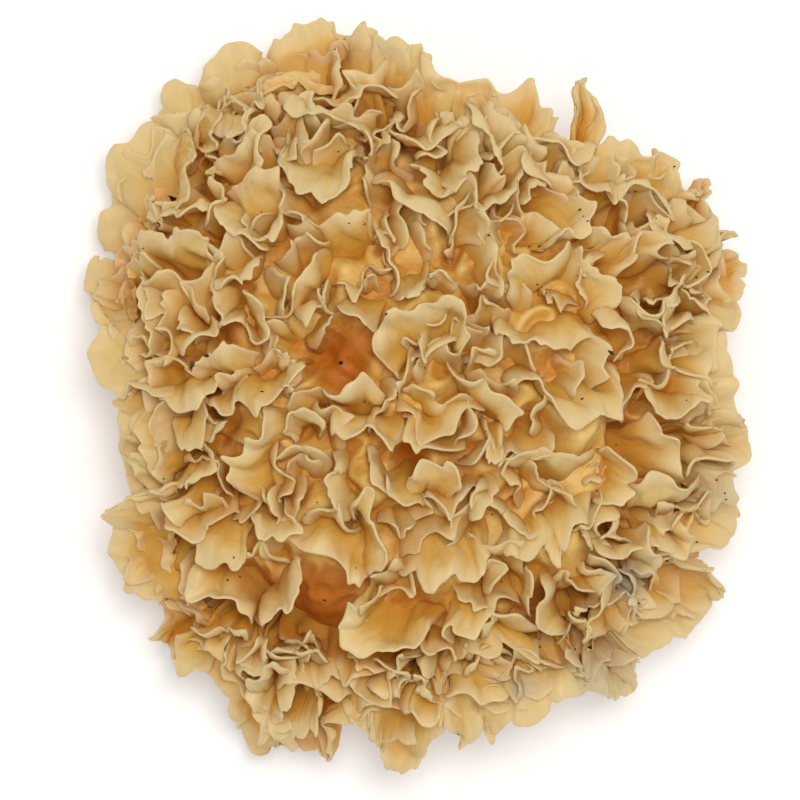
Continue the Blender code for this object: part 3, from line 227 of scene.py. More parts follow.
# Fronds of the middle of the photograph.
MIDDLE_FRONDS = [
    Frond([(-4, 3.4, 3), (-6, 7, 2), (-6.2, 10.4, 1.5), (-3.8, 13.3, 1), (-0.4, 13.6, 1.5), (5, 15, 0),
           (6.5, 10.5, 0), (6.2, 5.6, 1.5)], (0.2, -7.5, -6)),
    Frond([(-3.8, -2.4, 3), (-1, -5.5, 2), (0.5, -7.5, 1), (2.5, -5.6, 1.5), (5, -4, 2), (9, -2.7, 3)],
           (0.5, 6.5, -4)),
    Frond([(5, 4, 2), (7, 1.6, 1), (10.5, 0.2, 0), (13, -0.8, 0.5), (15.2, -3.8, 1), (13.4, -5.2, 2)],
           (-2.5, -2.5, -5)),
    Frond([(8.6, -5.2, 3), (9.2, -8.5, 1.5), (10.6, -10.6, 0.5), (12.3, -9, 1), (12.9, -6, 2)],
           (0, 4.5, -4)),
    Frond([(-3, -12.8, 2.5), (-1.3, -10.3, 1), (0, -9, 1), (1.3, -9.3, 1), (2.3, -10.2, 1.5),
           (3.3, -9.7, 1), (4.6, -11.5, 1), (5.2, -14.4, 2)], (0, -5.5, -4)),
    Frond([(9.4, 11.6, 2), (10.2, 8.4, 0), (13.5, 7.8, 1), (18, 8, 0.5), (22.5, 7.9, 1), (25.4, 9, 2)],
           (1.5, 5.5, -3)),
    Frond([(7, 3.8, 2.5), (6.9, 6.8, 1), (8.6, 8.2, 0), (10.4, 6.6, 1.5)], (2.5, -3.5, -5)),
    Frond([(10.8, 1.4, 3), (15, 1.8, 1), (17.5, 2.2, 0.5), (19.6, -1.3, 0), (22, -3.2, 0), (26, -2.6, 0),
           (29.3, -3, 0.5), (29.8, 0, 1), (29.2, 3.4, 2.5)], (-1, 6, -4)),
    Frond([(25.5, 12.5, 2), (28.5, 10.4, 0.5), (30, 7.6, 0.5), (28.8, 5, 2)], (3, 2.5, -5)),
    Frond([(36.2, 9.8, 2), (35.5, 7.4, 0.5), (37.4, 4.6, 0.5), (41, 3.8, 1), (45, 2.8, 2.5)],
           (-1.5, -3.5, -5)),
    Frond([(31, 0.6, 2), (33.5, 0, 1), (36.5, -1, 0.5), (39, -1.8, 0.5), (42, -1.5, 1), (44.6, -2.6, 2.5)],
           (0, 4, -4)),
    Frond([(33.6, -3.8, 2), (36.4, -6.6, 0.5), (38.3, -9.8, 1), (39, -12, 2)], (-5, -2, -6)),
    Frond([(39.4, -11.4, 2.5), (41, -10.2, 1), (44, -9.2, 1), (46.6, -9.8, 3)], (0.5, 4, -4)),
    Frond([(31.6, -13.6, 2.5), (34, -12.2, 1), (37, -12.4, 1), (40.6, -13.2, 2.5)], (0.5, -8, -4)),
    Frond([(13.2, -10.4, 2.5), (14.6, -7.9, 1), (17, -7.3, 1), (18, -6.2, 0.5), (19.6, -8, 1),
           (22, -7.8, 1), (24.6, -8.2, 2)], (0.5, -7.5, -4)),
    Frond([(10.8, -22, 3), (13, -23.5, 0.5), (15, -24.8, 0), (17, -24.4, 0), (18, -22.2, 1), (19, -24, 0.5),
           (20.7, -25.2, 0), (22, -22, 0.5), (23.2, -18.5, 1), (24.6, -14.5, 3)], (0, 8.5, -3)),
    Frond([(25.7, -8.8, 2.5), (28, -8, 1), (30.2, -10, 0.5), (31.5, -12.8, 1), (30.2, -15.2, 1),
           (26.4, -17, 2.5)], (-3.5, 0.5, -6)),
    Frond([(24.9, -18.6, 2.5), (25.6, -21, 1), (27, -23.8, 1), (28.2, -22, 3)], (-1, 4, -4)),
    Frond([(-4.6, -24.6, 3), (-1.5, -25.7, 1), (0.3, -28.3, 0), (3, -29, 0), (5, -27.7, 0.5), (7, -28, 0.5),
           (8.6, -25.2, 1), (10, -22, 3)], (0, 9, -3)),
    Frond([(-10.4, -18.5, 2), (-9.8, -15.2, 0), (-8.4, -14.8, 0), (-6.3, -18.5, -1), (-5.2, -22.5, -1),
           (-5.8, -25.6, 0), (-7.4, -27.2, 2)], (-4.5, -1, -6)),
    Frond([(-20.2, -21.4, 2), (-15, -23.3, 0.5), (-12.2, -25, 0.5), (-11, -27, 0.5), (-9, -27.6, 1),
           (-7, -28, 2)], (2, 7, -4)),
    Frond([(-26.4, -17.6, 1.5), (-26, -20, 0), (-23.5, -21.5, -1), (-20.3, -20.8, -1), (-18, -20.2, 0),
           (-18.6, -17.6, 1), (-20, -15.4, 2.5)], (0.5, 2, -7)),
    Frond([(-22.6, -0.6, 2), (-24, -4.3, 0), (-27, -7, 0), (-29.2, -10, 0), (-28.8, -13.5, 0),
           (-26.4, -16.6, 1.5)], (6, -1.5, -5)),
    Frond([(-19.5, -7.8, 2.5), (-20.9, -5, 0.5), (-19.8, -2.5, 0), (-17.2, -1.7, 0.5), (-15.3, -3.6, 1),
           (-15.2, -5.8, 2.5)], (0.5, -1.5, -6)),
    Frond([(-13.8, -4.6, 2.5), (-12.6, -6.8, 1), (-10.5, -6.9, 0.5), (-8.6, -5.4, 1), (-6, -7, 1),
           (-4, -8, 1), (-2.6, -6, 2.5)], (0.5, 5.5, -4)),
    Frond([(-13.4, -7.6, 2), (-13, -10.5, 0.5), (-15, -13.2, 0), (-13.3, -16.5, 0), (-11.3, -18.8, 1.5)],
           (3, 1.5, -5)),
    Frond([(-8.9, -9.2, 2), (-8.3, -13, 1.5), (-5.3, -14.6, 1.5), (-3.4, -13.6, 3)], (1.5, 3.5, -5)),
    Frond([(-33.2, -2.4, 3), (-31, -3.9, 1), (-29.6, -3.3, 0.5), (-30, -5, 1), (-32, -7, 2),
           (-32.6, -9.4, 3)], (-3, 0, -6)),
    Frond([(-33.2, -0.8, 2), (-33.3, -4, 0.5), (-34, -7, 0.5), (-34.8, -9.4, 1), (-36, -8, 1),
           (-36.4, -5.2, 3)], (-1, 4, -5)),
    Frond([(-37.2, 4, 2.5), (-34.5, 4.8, 1.5), (-32.5, 6.2, 1), (-30, 7.3, 0.5), (-27, 7.7, 0.5),
           (-24.6, 6.8, 2)], (0, -5, -4)),
    Frond([(-40.3, -0.4, 2), (-37, -0.9, 1), (-33.8, -0.3, 1), (-31, 1.2, 1), (-29.8, 3, 2)],
           (-0.5, 4.5, -5)),
    Frond([(-27, 14.4, 2), (-25, 14, 0), (-23.5, 12, 0), (-22.8, 9.5, 0), (-24, 7.4, 0.5), (-25.8, 8.5, 1),
           (-27, 10.8, 3)], (-0.5, 0.5, -7)),
    Frond([(-26.9, 1, 2), (-26, -0.8, 0.5), (-24.6, -0.6, 0.5), (-23, 0.8, 1), (-20, 1.8, 1),
           (-17.4, 2.6, 3)], (0.5, 4.5, -4)),
    Frond([(-31.2, 12.4, 2), (-32.3, 10, 1), (-34, 8.6, 1), (-36.3, 7.3, 1.5), (-37.2, 5.8, 3)],
           (-4.5, 5, -4)),
    Frond([(-41, 16.4, 2), (-39, 18.8, 0.5), (-36, 18.5, 0.5), (-34, 16, 1), (-32.8, 13.2, 2)],
           (-2, -5, -5)),
    Frond([(-42, 4.8, 3), (-40.8, 9, 1), (-41.5, 13.5, 1), (-43, 18.5, 3)], (5, 0, -5)),
    Frond([(-42.6, -1.8, 3), (-43.3, -5, 2), (-41.8, -7.8, 2), (-40.8, -10.2, 2), (-39.8, -12.8, 4)],
           (6, 2, -4)),
    Frond([(-15.5, -0.6, 3), (-12.5, 1.6, 1.5), (-9.6, 2.6, 1.5), (-6.8, 0.9, 2)], (0.5, -4.5, -4)),
]

# Fronds of the lower part of the photograph.
LOWER_FRONDS = [
    Frond([(-8, -29.2, 2), (-10.8, -31.3, 0), (-10.3, -34, 0.5), (-10.8, -35.3, 0), (-9.6, -37.6, 0),
           (-8, -39.3, 0), (-4.5, -37.6, 1), (0, -35.2, 2), (2, -34.4, 3.5)], (5, 3.5, -5)),
    Frond([(3.3, -37.8, 3), (2.8, -36, 1.5), (3.6, -34.4, 1), (5, -33.6, 0), (6.5, -35, 0), (9, -35, 0),
           (10.3, -33.8, 0.5), (10.8, -31.8, 1), (12.4, -30.4, 1.5), (14.4, -31.6, 3)], (0, 6, -4)),
    Frond([(15, -25.6, 3), (17, -26.3, 1), (17, -29, 1), (16, -31.6, 2.5)], (-4.5, 1.5, -5)),
    Frond([(3, -40.2, 3), (8, -39.3, 1.5), (13, -38.7, 1.5), (16, -38.4, 1), (16.4, -36.4, 2.5)],
           (-3, 4.5, -4)),
    Frond([(-0.8, -45.4, 2.5), (-0.2, -47.5, 1), (1.5, -49, 0), (3.2, -48.2, 0.5), (4.2, -45.8, 2.5)],
           (0, 3.5, -5)),
    Frond([(-2.8, -43.4, 3), (-2, -40.6, 1), (-0.3, -40.6, 1), (0.9, -43, 1), (4.5, -44.6, 2)],
           (-1, -4.5, -5)),
    Frond([(4.2, -44.6, 3), (8, -45.2, 1), (11.5, -46.7, 1), (14, -45.2, 1.5), (18, -43.6, 3)],
           (0.5, 4, -4)),
    Frond([(-17.8, -43.4, 3), (-16.5, -45.5, 1.5), (-15, -46.9, 1), (-13.3, -46.2, 1), (-11.8, -44.8, 3)],
           (0, 3.5, -4)),
    Frond([(-26.6, -43.6, 3), (-26.3, -46.5, 1), (-25, -48.8, 1), (-23.5, -50.8, 1), (-21.5, -52.2, 1),
           (-19.5, -52.4, 1), (-17.3, -51.2, 1), (-16.5, -49.4, 1), (-17.2, -46.6, 2)], (0.8, 5.5, -5)),
    Frond([(-34.2, -26, 2.5), (-33.7, -29.4, 1), (-30.5, -29.9, 0.5), (-28.5, -32, 0.5),
           (-26.4, -34.1, 1.5)], (3, 2.5, -7)),
    Frond([(-24.8, -35, 2), (-23.3, -32.6, 1), (-21.3, -31.5, 1), (-20, -29.5, 1), (-18.6, -27.3, 1.5),
           (-18.2, -24.6, 3)], (-3.5, 2.5, -7)),
    Frond([(-25.2, -35.6, 3), (-23.6, -37.6, 2.5), (-20.5, -39.2, 3), (-16.5, -40.2, 3), (-13.5, -40, 3.5)],
           (1, -4.5, -5)),
    Frond([(-35.2, -18.4, 3), (-34.8, -21.9, 2), (-33.3, -23.9, 1), (-30.6, -24.9, 0.5), (-28.5, -25.7, 0),
           (-27.1, -24.6, 0.5), (-26, -22.8, 1.5)], (1.5, 5.5, -4)),
    Frond([(-36.4, -14.6, 2.5), (-37.6, -15.4, 1), (-36.6, -17.6, 1), (-35, -17.8, 2.5)], (2.5, 2.5, -4)),
    Frond([(27.6, -27, 3), (26.4, -30, 1), (26.2, -32, 1), (24.2, -33.5, 1), (24.6, -35.8, 1.5),
           (27.4, -37, 2.5)], (6, -0.5, -4)),
    Frond([(28.6, -25, 3), (31, -26, 1), (32.2, -28.6, 1), (31, -31.5, 1), (33.5, -33, 1.5),
           (36.4, -32.6, 3)], (4.5, 2.5, -4)),
    Frond([(20, -37.2, 3), (22.4, -38.4, 1), (24.8, -41, 1.5), (26.4, -42.2, 3)], (-3.5, 2, -4)),
    Frond([(-34.6, -37.8, 3), (-32.6, -38.4, 1.5), (-30.4, -41, 1.5), (-27.4, -41.8, 2.5)], (2.5, 4.5, -4)),
    Frond([(-9.6, -43, 3), (-6.6, -45.4, 1.5), (-4, -46, 2), (-2.8, -44.6, 3.5)], (0.5, 4.5, -4)),
    Frond([(32.5, -21.8, 2), (35, -22.4, 1), (37.4, -24.8, 1), (40, -24.4, 2.5)], (0.5, 4.5, -4)),
]


@dataclass(frozen=True)
class Tier:
    """A ring of fronds below the outline.

    Attributes:
        count: How many there are.
        height: How high their rims lie above the cut.
        reach: How far out they come, as a share of the outline.
        cover: How much of the ring one frond covers, against its even share.
        wave: How far a rim rises and falls.
    """

    count: int
    height: float
    reach: float
    cover: float
    wave: float


UNDER_TIERS = [
    Tier(17, 15.0, 0.93, 1.25, 3.2),
    Tier(15, 10.0, 0.88, 1.20, 2.8),
    Tier(13, 6.0, 0.76, 1.10, 2.2),
    Tier(10, 4.8, 0.56, 1.05, 1.2),
]

# Finer fronds that hang in front of the tissue between those rings.
FRINGE_TIERS = [
    Tier(25, 13.5, 0.95, 1.35, 3.0),
    Tier(21, 9.0, 0.88, 1.30, 2.4),
]

# Hollows coloured orange to red-brown, partly stained tissue and partly painted shade: (x, y, radius,
# strength).
STAINED_AND_SHADED_HOLLOWS = [
    (-12.0, 5.5, 5.5, 1.0), (-8.0, 8.0, 3.5, 0.7), (-1.6, -9.0, 3.2, 1.0), (-0.4, -7.0, 2.0, 0.9),
    (-16.0, -31.0, 8.0, 1.0), (-24.5, -28.5, 4.0, 0.7), (-29.0, 10.0, 3.0, 0.75), (-28.6, 23.2, 2.2, 0.4),
    (8.0, 12.0, 3.0, 0.5), (29.5, -4.0, 2.4, 0.7), (20.0, -31.5, 4.5, 0.6), (28.5, -20.0, 3.5, 0.45),
    (-13.0, 29.5, 4.0, 0.4), (12.0, 28.0, 3.0, 0.4), (4.0, -9.0, 4.5, 0.4), (-28.5, -3.0, 4.0, 0.4),
    (0.0, -28.7, 3.0, 0.35), (-27.2, -12.8, 2.2, 0.5), (-17.0, -4.5, 2.2, 0.3), (-4.0, -40.0, 4.0, 0.35),
]

# Places where the photograph shows paler, whiter tissue: (x, y, radius, strength).
PALE_PLACES = [
    (-15.0, 51.0, 15.0, 0.9), (10.0, 43.0, 9.0, 0.5), (-43.0, 33.0, 9.0, 0.6), (-40.0, 20.0, 8.0, 0.5),
    (32.0, 31.0, 11.0, 0.5), (44.0, 10.0, 8.0, 0.5), (42.0, -14.0, 10.0, 0.8), (34.0, -31.0, 12.0, 0.9),
    (27.0, -42.0, 9.0, 1.0), (-41.0, -21.0, 9.0, 0.8), (-24.0, -48.0, 8.0, 0.6), (-14.0, 36.0, 5.0, 0.7),
    (2.0, 30.0, 6.0, 0.5), (-26.0, 28.0, 5.0, 0.6), (24.0, -2.0, 6.0, 0.5), (-22.0, -19.0, 5.0, 0.5),
    (4.0, -21.0, 8.0, 0.5), (20.0, -14.0, 6.0, 0.5), (-28.0, 40.0, 6.0, 0.5), (12.0, 10.0, 6.0, 0.4),
]

# Places where the photograph shows greyish, more see-through tissue: (x, y, radius, strength).
GREY_PATCHES = [
    (31.0, -27.5, 3.6, 0.9), (27.5, -41.0, 6.0, 0.6), (14.8, -43.5, 2.4, 0.7), (44.0, -14.0, 5.0, 0.35),
]

# Dark crumbs of bark that the photograph shows, as (x, y, length).
CRUMBS = [
    (-33.5, 38.4, 0.6), (-42.2, 22.4, 0.5), (-24.2, 27.7, 0.5), (-25.3, 25, 0.5), (-13.2, 52.5, 0.5),
    (-11, 25.9, 0.5), (-8.7, 25.8, 0.5), (-12.7, 36.8, 0.6), (38, 34.8, 0.6), (32, 31, 0.5),
    (35, 26.8, 0.5), (37.6, 23.2, 0.5), (23.5, 28, 0.7), (23.9, 27, 0.5), (24.6, 26.3, 0.5),
    (17, 16.8, 0.6), (41.2, 18, 0.8), (43, 18.8, 0.6), (42, 15.6, 0.5), (28, 6.6, 1.1), (23.7, -0.3, 0.6),
    (39.5, -0.5, 0.5), (-32.3, 6.2, 1.1), (-31.8, 2.9, 0.6), (-26, 9, 0.6), (-24, 0.8, 0.6),
    (-39, -12.3, 0.6), (-12.3, 5.1, 1.3), (-5.5, 12.3, 0.6), (0.2, 4.3, 0.5), (-8.7, -0.6, 0.6),
    (9.3, -5.1, 0.5), (10.3, -17.6, 0.5), (-15.8, -15.7, 0.5), (26, -14, 0.6), (29, -7.2, 0.5),
    (44.3, -12.5, 0.6), (45.5, -14.5, 0.6), (45.7, -15.5, 0.5), (-28.3, -24, 0.5), (-29.3, -27.5, 0.6),
    (-27.5, -27, 0.5), (-14.8, -30.5, 0.6), (-38.8, -30.7, 0.5), (-10, -25.5, 0.5), (11.7, -27.7, 0.5),
    (24.5, -34.8, 0.5), (17.6, -37.6, 0.6), (23, -38, 0.5), (36.8, -24.7, 0.7), (41.3, -22, 0.6),
    (-2, -39.7, 0.5),
]


def dome_height(x: np.ndarray, y: np.ndarray) -> np.ndarray:
    """Finds how high the dome stands.

    Args:
        x: Distances to the photograph's right.
        y: Distances towards the photograph's top.

    Returns:
        The heights above the cut.
    """
    reach = np.hypot(x / HALF_WIDTH, y / HALF_LENGTH)
    return SHOULDER_HEIGHT + (HEIGHT - SHOULDER_HEIGHT) * np.sqrt(np.clip(1 - reach ** 2, 0, 1))


def smoothstep(low: float, high: float, value: np.ndarray) -> np.ndarray:
    """Eases from 0 at low to 1 at high.

    Args:
        low: Where the easing starts.
        high: Where it ends.
        value: The values.

    Returns:
        The eased values, 0 to 1.
    """
    share = np.clip((value - low) / (high - low), 0, 1)
    return share * share * (3 - 2 * share)


def smooth_curve(points: np.ndarray, step: float) -> np.ndarray:
    """Draws a smooth curve through a few points.

    Args:
        points: The points, one to a row.
        step: About how far apart the new points are.

    Returns:
        The curve's points, one to a row.
    """
    ends = np.vstack([2 * points[0] - points[1], points, 2 * points[-1] - points[-2]])
    found = []
    for before, start, end, after in zip(ends, ends[1:], ends[2:], ends[3:]):
        pieces = max(1, round(float(np.linalg.norm(end - start)) / step))
        t = np.arange(pieces)[:, None] / pieces
        bend = 2 * before - 5 * start + 4 * end - after
        twist = 3 * start - before - 3 * end + after
        found.append(0.5 * (2 * start + (end - before) * t + bend * t ** 2 + twist * t ** 3))
    found.append(points[-1:])
    return np.vstack(found)


class Wobble:
    """A smooth, seeded, wandering value along a line or through space."""

    def __init__(self, seed: int, wavelength: float, waves: int = 6) -> None:
        """Sets the wandering up.

        Args:
            seed: The same seed gives the same wandering.
            wavelength: The usual length of one wander.
            waves: How many waves are added up.
        """
        rng = np.random.default_rng(seed)
        directions = rng.normal(size=(waves, 3))
        directions /= np.linalg.norm(directions, axis=1)[:, None]
        self.ways = directions * (2 * math.pi / (wavelength * rng.uniform(0.65, 1.5, waves)))[:, None]
        self.phases = rng.uniform(0, 2 * math.pi, waves)
        self.gain = math.sqrt(2 / waves)

    def at(self, points: np.ndarray) -> np.ndarray:
        """Gives the wandering value in space."""
        return self.gain * np.sin(points @ self.ways.T + self.phases).sum(axis=-1)

    def along(self, distance: np.ndarray) -> np.ndarray:
        """Gives the wandering value on a line.

        Args:
            distance: Distances along the line.

        Returns:
            The values, mostly from -1 to 1.
        """
        line = np.zeros(distance.shape + (3,))
        line[..., 0] = distance
        line[..., 1] = 0.37 * distance
        return self.at(line)


class Warp:
    """A smooth shift of space, so that no frond keeps a drawn line."""

    def __init__(self, seed: int, wavelength: float, height: float) -> None:
        """Sets one wandering up for each axis."""
        self.axes = [Wobble(seed + k, wavelength) for k in range(3)]
        self.height = height

    def __call__(self, points: np.ndarray) -> np.ndarray:
        """Shifts points."""
        return points + self.height * np.stack([axis.at(points) for axis in self.axes], axis=-1)


WARP = Warp(31, 13.0, 0.6)
CRUMPLE = Warp(57, 5.5, 0.36)


class NodeSheet:
    """Places nodes in a tree and joins them up."""

    def __init__(self, tree: bpy.types.NodeTree) -> None:
        """Keeps the tree."""
        self.tree = tree

    def add(self, kind: str, **settings: object) -> bpy.types.Node:
        """Adds a node.

        Args:
            kind: The node's type.
            settings: The node's properties.

        Returns:
            The node.
        """
        node = self.tree.nodes.new(kind)
        for name, value in settings.items():
            setattr(node, name, value)
        return node

    def feed(self, socket: bpy.types.NodeSocket, value: object) -> None:
        """Joins another node's output to a socket, or sets the socket to a value.

        Args:
            socket: The socket.
            value: An output or a value.
        """
        if isinstance(value, bpy.types.NodeSocket):
            self.tree.links.new(value, socket)
        else:
            socket.default_value = value

    def math(self, operation: str, *values: object) -> bpy.types.NodeSocket:
        """Does a sum on plain numbers.

        Args:
            operation: The Math node's operation.
            values: Numbers or outputs.

        Returns:
            The result's output.
        """
        node = self.add("ShaderNodeMath", operation=operation)
        for socket, value in zip(node.inputs, values):
            self.feed(socket, value)
        return node.outputs[0]

    def product(self, first: object, *others: object) -> bpy.types.NodeSocket:
        """Multiplies numbers.

        Args:
            first: A number or an output.
            others: More of them.

        Returns:
            The product's output.
        """
        for other in others:
            first = self.math("MULTIPLY", first, other)
        return first

    def total(self, first: object, second: object) -> bpy.types.NodeSocket:
        """Adds two numbers."""
        return self.math("ADD", first, second)

    def less(self, first: object, second: object) -> bpy.types.NodeSocket:
        """Takes the second number from the first."""
        return self.math("SUBTRACT", first, second)

    def scaled(self, vector: object, factor: object) -> bpy.types.NodeSocket:
        """Multiplies a vector by a number.

        Args:
            vector: A vector or an output.
            factor: A number or an output.

        Returns:
            The result's output.
        """
        node = self.add("ShaderNodeVectorMath", operation="SCALE")
        self.feed(node.inputs[0], vector)
        self.feed(node.inputs["Scale"], factor)
        return node.outputs[0]

    def eased(self, value: object, low: object, high: object, to_low: object = 0.0,
              to_high: object = 1.0) -> bpy.types.NodeSocket:
        """Eases a value from one range into another.

        Args:
            value: The value.
            low: Where the easing starts.
            high: Where the easing ends.
            to_low: What comes out at the start.
            to_high: What comes out at the end.

        Returns:
            The result's output.
        """
        node = self.add("ShaderNodeMapRange", interpolation_type="SMOOTHSTEP")
        for socket, fed in zip(node.inputs, (value, low, high, to_low, to_high)):
            self.feed(socket, fed)
        return node.outputs[0]

    def blended(self, factor: object, first: object, second: object) -> bpy.types.NodeSocket:
        """Mixes two colours.

        Args:
            factor: 0 gives the first, 1 the second.
            first: A colour or an output.
            second: A colour or an output.

        Returns:
            The mixed colour's output.
        """
        node = self.add("ShaderNodeMix", data_type="RGBA")
        self.feed(node.inputs[0], factor)
        self.feed(node.inputs[6], first)
        self.feed(node.inputs[7], second)
        return node.outputs[2]

    def noise(self, vector: object, scale: object, detail: float = 2.0) -> bpy.types.NodeSocket:
        """Gives a smooth noise from 0 to 1.

        Args:
            vector: Where it is read.
            scale: How many wanders there are to one unit.
            detail: How many finer layers it has.

        Returns:
            The noise's output.
        """
        node = self.add("ShaderNodeTexNoise")
        self.feed(node.inputs["Vector"], vector)
        self.feed(node.inputs["Scale"], scale)
        self.feed(node.inputs["Detail"], detail)
        return node.outputs[0]

    def attribute(self, name: str) -> bpy.types.Node:
        """Reads one of the piece's own attributes in a material."""
        return self.add("ShaderNodeAttribute", attribute_name=name, attribute_type="GEOMETRY")

    def mark(self, name: str) -> bpy.types.NodeSocket:
        """Reads a number that the piece's points carry, in a material."""
        return self.attribute(name).outputs["Fac"]

    def own_value(self, name: str, kind: str) -> bpy.types.NodeSocket:
        """Reads one of the sheets' own attributes in Geometry Nodes.

        Args:
            name: The attribute's name.
            kind: Its data type.

        Returns:
            The value's output.
        """
        node = self.add("GeometryNodeInputNamedAttribute", data_type=kind)
        node.inputs["Name"].default_value = name
        return node.outputs[0]

    def dress(self, geometry: object, material: object, result: bpy.types.NodeSocket) -> None:
        """Ends a Geometry Nodes tree: makes all copies real and gives them their material.

        Args:
            geometry: The finished geometry's output.
            material: The material's output.
            result: The socket that the geometry leaves by.
        """
        real = self.add("GeometryNodeRealizeInstances")
        self.feed(real.inputs[0], geometry)
        dressed = self.add("GeometryNodeSetMaterial")
        self.feed(dressed.inputs["Geometry"], real.outputs[0])
        self.feed(dressed.inputs["Material"], material)
        self.feed(result, dressed.outputs[0])


def new_group(name: str, kind: str, inputs: list[tuple],
              outputs: list[tuple]) -> tuple[NodeSheet, dict[str, object], dict[str, object]]:
    """Starts a node tree with named inputs and outputs.

    Args:
        name: The tree's name.
        kind: GeometryNodeTree or ShaderNodeTree.
        inputs: (name, socket type, default or None) of each input.
        outputs: (name, socket type) of each output.

    Returns:
        The sheet to place nodes on, the inputs by name, and the sockets that the results go into.
    """
    tree = bpy.data.node_groups.new(name, kind)
    for label, socket_type, default in inputs:
        socket = tree.interface.new_socket(name=label, in_out="INPUT", socket_type=socket_type)
        if default is not None:
            socket.default_value = default
    for label, socket_type in outputs:
        tree.interface.new_socket(name=label, in_out="OUTPUT", socket_type=socket_type)
    sheet = NodeSheet(tree)
    entry = sheet.add("NodeGroupInput")
    result = sheet.add("NodeGroupOutput")
    return sheet, {s.name: s for s in entry.outputs if s.name}, {s.name: s for s in result.inputs if s.name}


